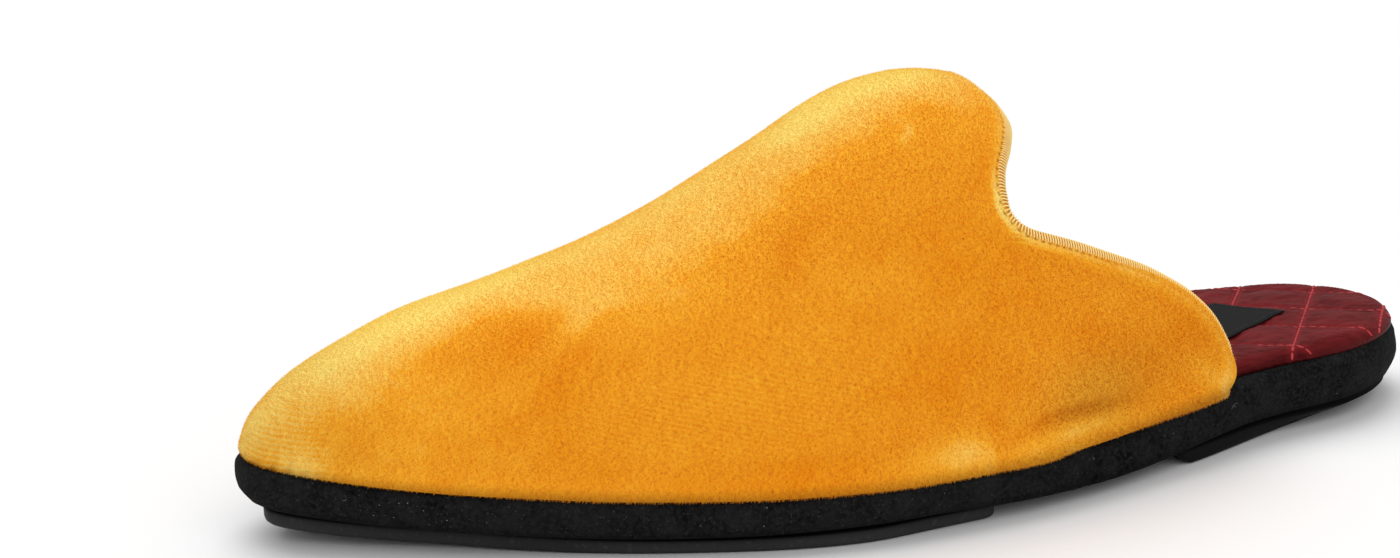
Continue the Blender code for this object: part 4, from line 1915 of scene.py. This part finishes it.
def hem_line():
    """Points round the label, a hem in from its edge."""
    half_across = LABEL_WIDTH / 2.0 - LABEL_HEM
    half_along = LABEL_LENGTH / 2.0 - LABEL_HEM
    corners = [(-1, -1), (1, -1), (1, 1), (-1, 1), (-1, -1)]
    spots = []
    for (across_a, along_a), (across_b, along_b) in zip(corners[:-1], corners[1:]):
        for share in np.linspace(0.0, 1.0, 60)[:-1]:
            spots.append(((across_a * (1.0 - share) + across_b * share) * half_across,
                          (along_a * (1.0 - share) + along_b * share) * half_along))
    x, y = label_place(*np.array(spots).T)
    return np.stack([x, y, label_height(x, y) + 0.03 * MM], axis=1)


hem = run_tree(runs_guide("hem guide", [hem_line()]), stitch_tree(BLACK_THREAD), "label_stitches",
               {"Pitch": 1.6 * MM, "Length": 1.2 * MM, "Thread": 0.13 * MM})
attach(hem, BODY)
print("hem triangles:", triangles(hem))


# %% [markdown]
# ## Lint
#
# Black suede gathers lint. Specks are thin slivers, and a hair is a short curl of
# fine thread. Geometry Nodes scatter both over the side of the midsole with a fixed
# seed. Together they are one light piece.


# %% Lint on the suede
def lint_finish():
    finish = Finish("pale lint")
    return finish.surface(finish.mix(finish.noise(900.0), (0.08, 0.08, 0.08), (0.50, 0.49, 0.48)), 0.9, 0.1)


def lint_tree(finish):
    """Specks and curled hairs, scattered over a guide."""
    sizes = {"Specks": 20000.0, "Hairs": 1000.0, "Speck": 0.0001, "Hair": 0.001, "Thread": 0.00003, "Seed": 1}
    group, tree, wire = new_tree("lint", sizes)
    speck = tree.node("GeometryNodeMeshIcoSphere", None, {"Radius": 1.0, "Subdivisions": 1})
    flat = tree.vector(wire["Speck"] * 1.6, wire["Speck"], wire["Speck"] * 0.6)
    wide = vector_maths(tree, "SCALE", flat, random_number(tree, 0.5, 1.7, 3), "Scale")
    arc = tree.node("GeometryNodeCurveArc", {"mode": "RADIUS"},
                    {"Resolution": 9, "Radius": wire["Hair"], "Start Angle": 0.0, "Sweep Angle": 2.4})
    section = circle(tree, 4, wire["Thread"])
    hair = tree.node("GeometryNodeCurveToMesh", None,
                     {"Curve": arc, "Profile Curve": section, "Fill Caps": True})
    join = tree.nodes.new("GeometryNodeJoinGeometry")
    for shape, size, density, seed in (
        (speck, wide, wire["Specks"], wire["Seed"]),
        (hair, random_number(tree, 0.5, 1.4, 4), wire["Hairs"], wire["Seed"] + 5.0),
    ):
        points, normal = scattered(tree, wire["Geometry"], density * named(tree, "share"), seed)
        made = copies(tree, points, shape, spun_upright(tree, normal, seed), size)
        tree.links.new(made.socket, join.inputs[0])
    end_tree(tree, Wire(tree, join.outputs[0]), finish)
    return group


def lint_guide():
    """The upright part of the midsole's side, a hair's breadth outside it."""
    along = stations(0.0, 1.0, UNIT_STATIONS)
    sides = []
    for share in (0.25, 0.45, 0.65, 0.88):
        inset = smooth(MIDSOLE_SIDE, 1, share) - 0.06 * MM
        sides.append(ring(along, inset, lambda y, s=share: underside(y) * (1.0 - s) + deck(y) * s))
    points = np.stack(sides)
    share = 0.12 + 0.88 * fraction(0.9 - (points[..., 1] / LENGTH + 0.5) * 2.4) ** 1.5
    return guide_mesh("lint guide", points, faces=tube_faces(*points.shape[:2]).tolist(),
                      numbers={"share": share})


lint = run_tree(lint_guide(), lint_tree(lint_finish()), "midsole_lint", {
    "Specks": 150000.0,
    "Hairs": 4500.0,
    "Speck": 0.065 * MM,
    "Hair": 1.3 * MM,
    "Thread": 0.025 * MM,
    "Seed": 12,
})
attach(lint, BODY)
print("lint triangles:", triangles(lint))


# %% [markdown]
# ## Floor, light and camera
#
# The slipper stands on a plain pale floor under large soft lamps, as in a product
# shot. A broad lamp above the inner side lights the ridge and leaves the outer side
# in even, deeper light.

# %% Floor
FLOOR_REACH = 6.0


def make_floor():
    corners = [(x * FLOOR_REACH, y * FLOOR_REACH, 0.0) for x, y in ((-1, -1), (1, -1), (1, 1), (-1, 1))]
    pale = Finish("pale floor").surface((0.93, 0.93, 0.93), 0.8)
    piece = add_mesh("floor", corners, [(0, 1, 2, 3)], pale, weld_doubles=False)


make_floor()


# %% Lamps
def add_lamp(name, place, power, spread):
    """A far soft lamp that shines from a place towards the slipper."""
    light = bpy.data.lights.new(name, "SUN")
    light.energy = power
    light.angle = math.radians(spread)
    lamp = add_object(name, light)
    lamp.location = place
    lamp.rotation_euler = Vector(place).to_track_quat("Z", "Y").to_euler()


add_lamp("top lamp", (-0.45, -0.05, 1.10), 1.45, 60.0)
add_lamp("side lamp", (1.00, -0.10, 0.75), 0.85, 60.0)

SKY_STRENGTH = 0.52
world = bpy.data.worlds.new("studio")
world.use_nodes = True
sky = world.node_tree.nodes["Background"].inputs
sky["Color"].default_value = (1.0, 1.0, 1.0, 1.0)
sky["Strength"].default_value = SKY_STRENGTH
bpy.context.scene.world = world
bpy.context.scene.view_settings.view_transform = "Standard"

# %% Camera
CAMERA_TURN = math.radians(66.23)
CAMERA_LIFT = math.radians(12.89)
CAMERA_ROLL = math.radians(-2.06)
CAMERA_DISTANCE = 0.70
CAMERA_LENS = 67.83
CAMERA_SENSOR = 36.0
CAMERA_TARGET = Vector((-99.0 * MM, -0.7 * MM, 25.0 * MM))


def add_camera():
    """A camera on a sphere round its target, rolled a little about its own axis."""
    turn_sin, turn_cos = math.sin(CAMERA_TURN), math.cos(CAMERA_TURN)
    lift_sin, lift_cos = math.sin(CAMERA_LIFT), math.cos(CAMERA_LIFT)
    roll_sin, roll_cos = math.sin(CAMERA_ROLL), math.cos(CAMERA_ROLL)
    back = Vector((turn_sin * lift_cos, -turn_cos * lift_cos, lift_sin))
    right = Vector((turn_cos, turn_sin, 0.0))
    up = back.cross(right)
    axes = (right * roll_cos + up * roll_sin, up * roll_cos - right * roll_sin, back)
    lens = bpy.data.cameras.new("camera")
    lens.lens = CAMERA_LENS
    lens.sensor_width = CAMERA_SENSOR
    camera = add_object("camera", lens)
    place = Matrix.Translation(CAMERA_TARGET + back * CAMERA_DISTANCE)
    camera.matrix_world = place @ Matrix(axes).transposed().to_4x4()
    bpy.context.scene.camera = camera


add_camera()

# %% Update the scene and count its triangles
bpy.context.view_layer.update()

pieces = [piece for piece in bpy.context.scene.objects
          if piece.type == "MESH" and piece.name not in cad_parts]
print("all triangles:", sum(triangles(piece) for piece in pieces))
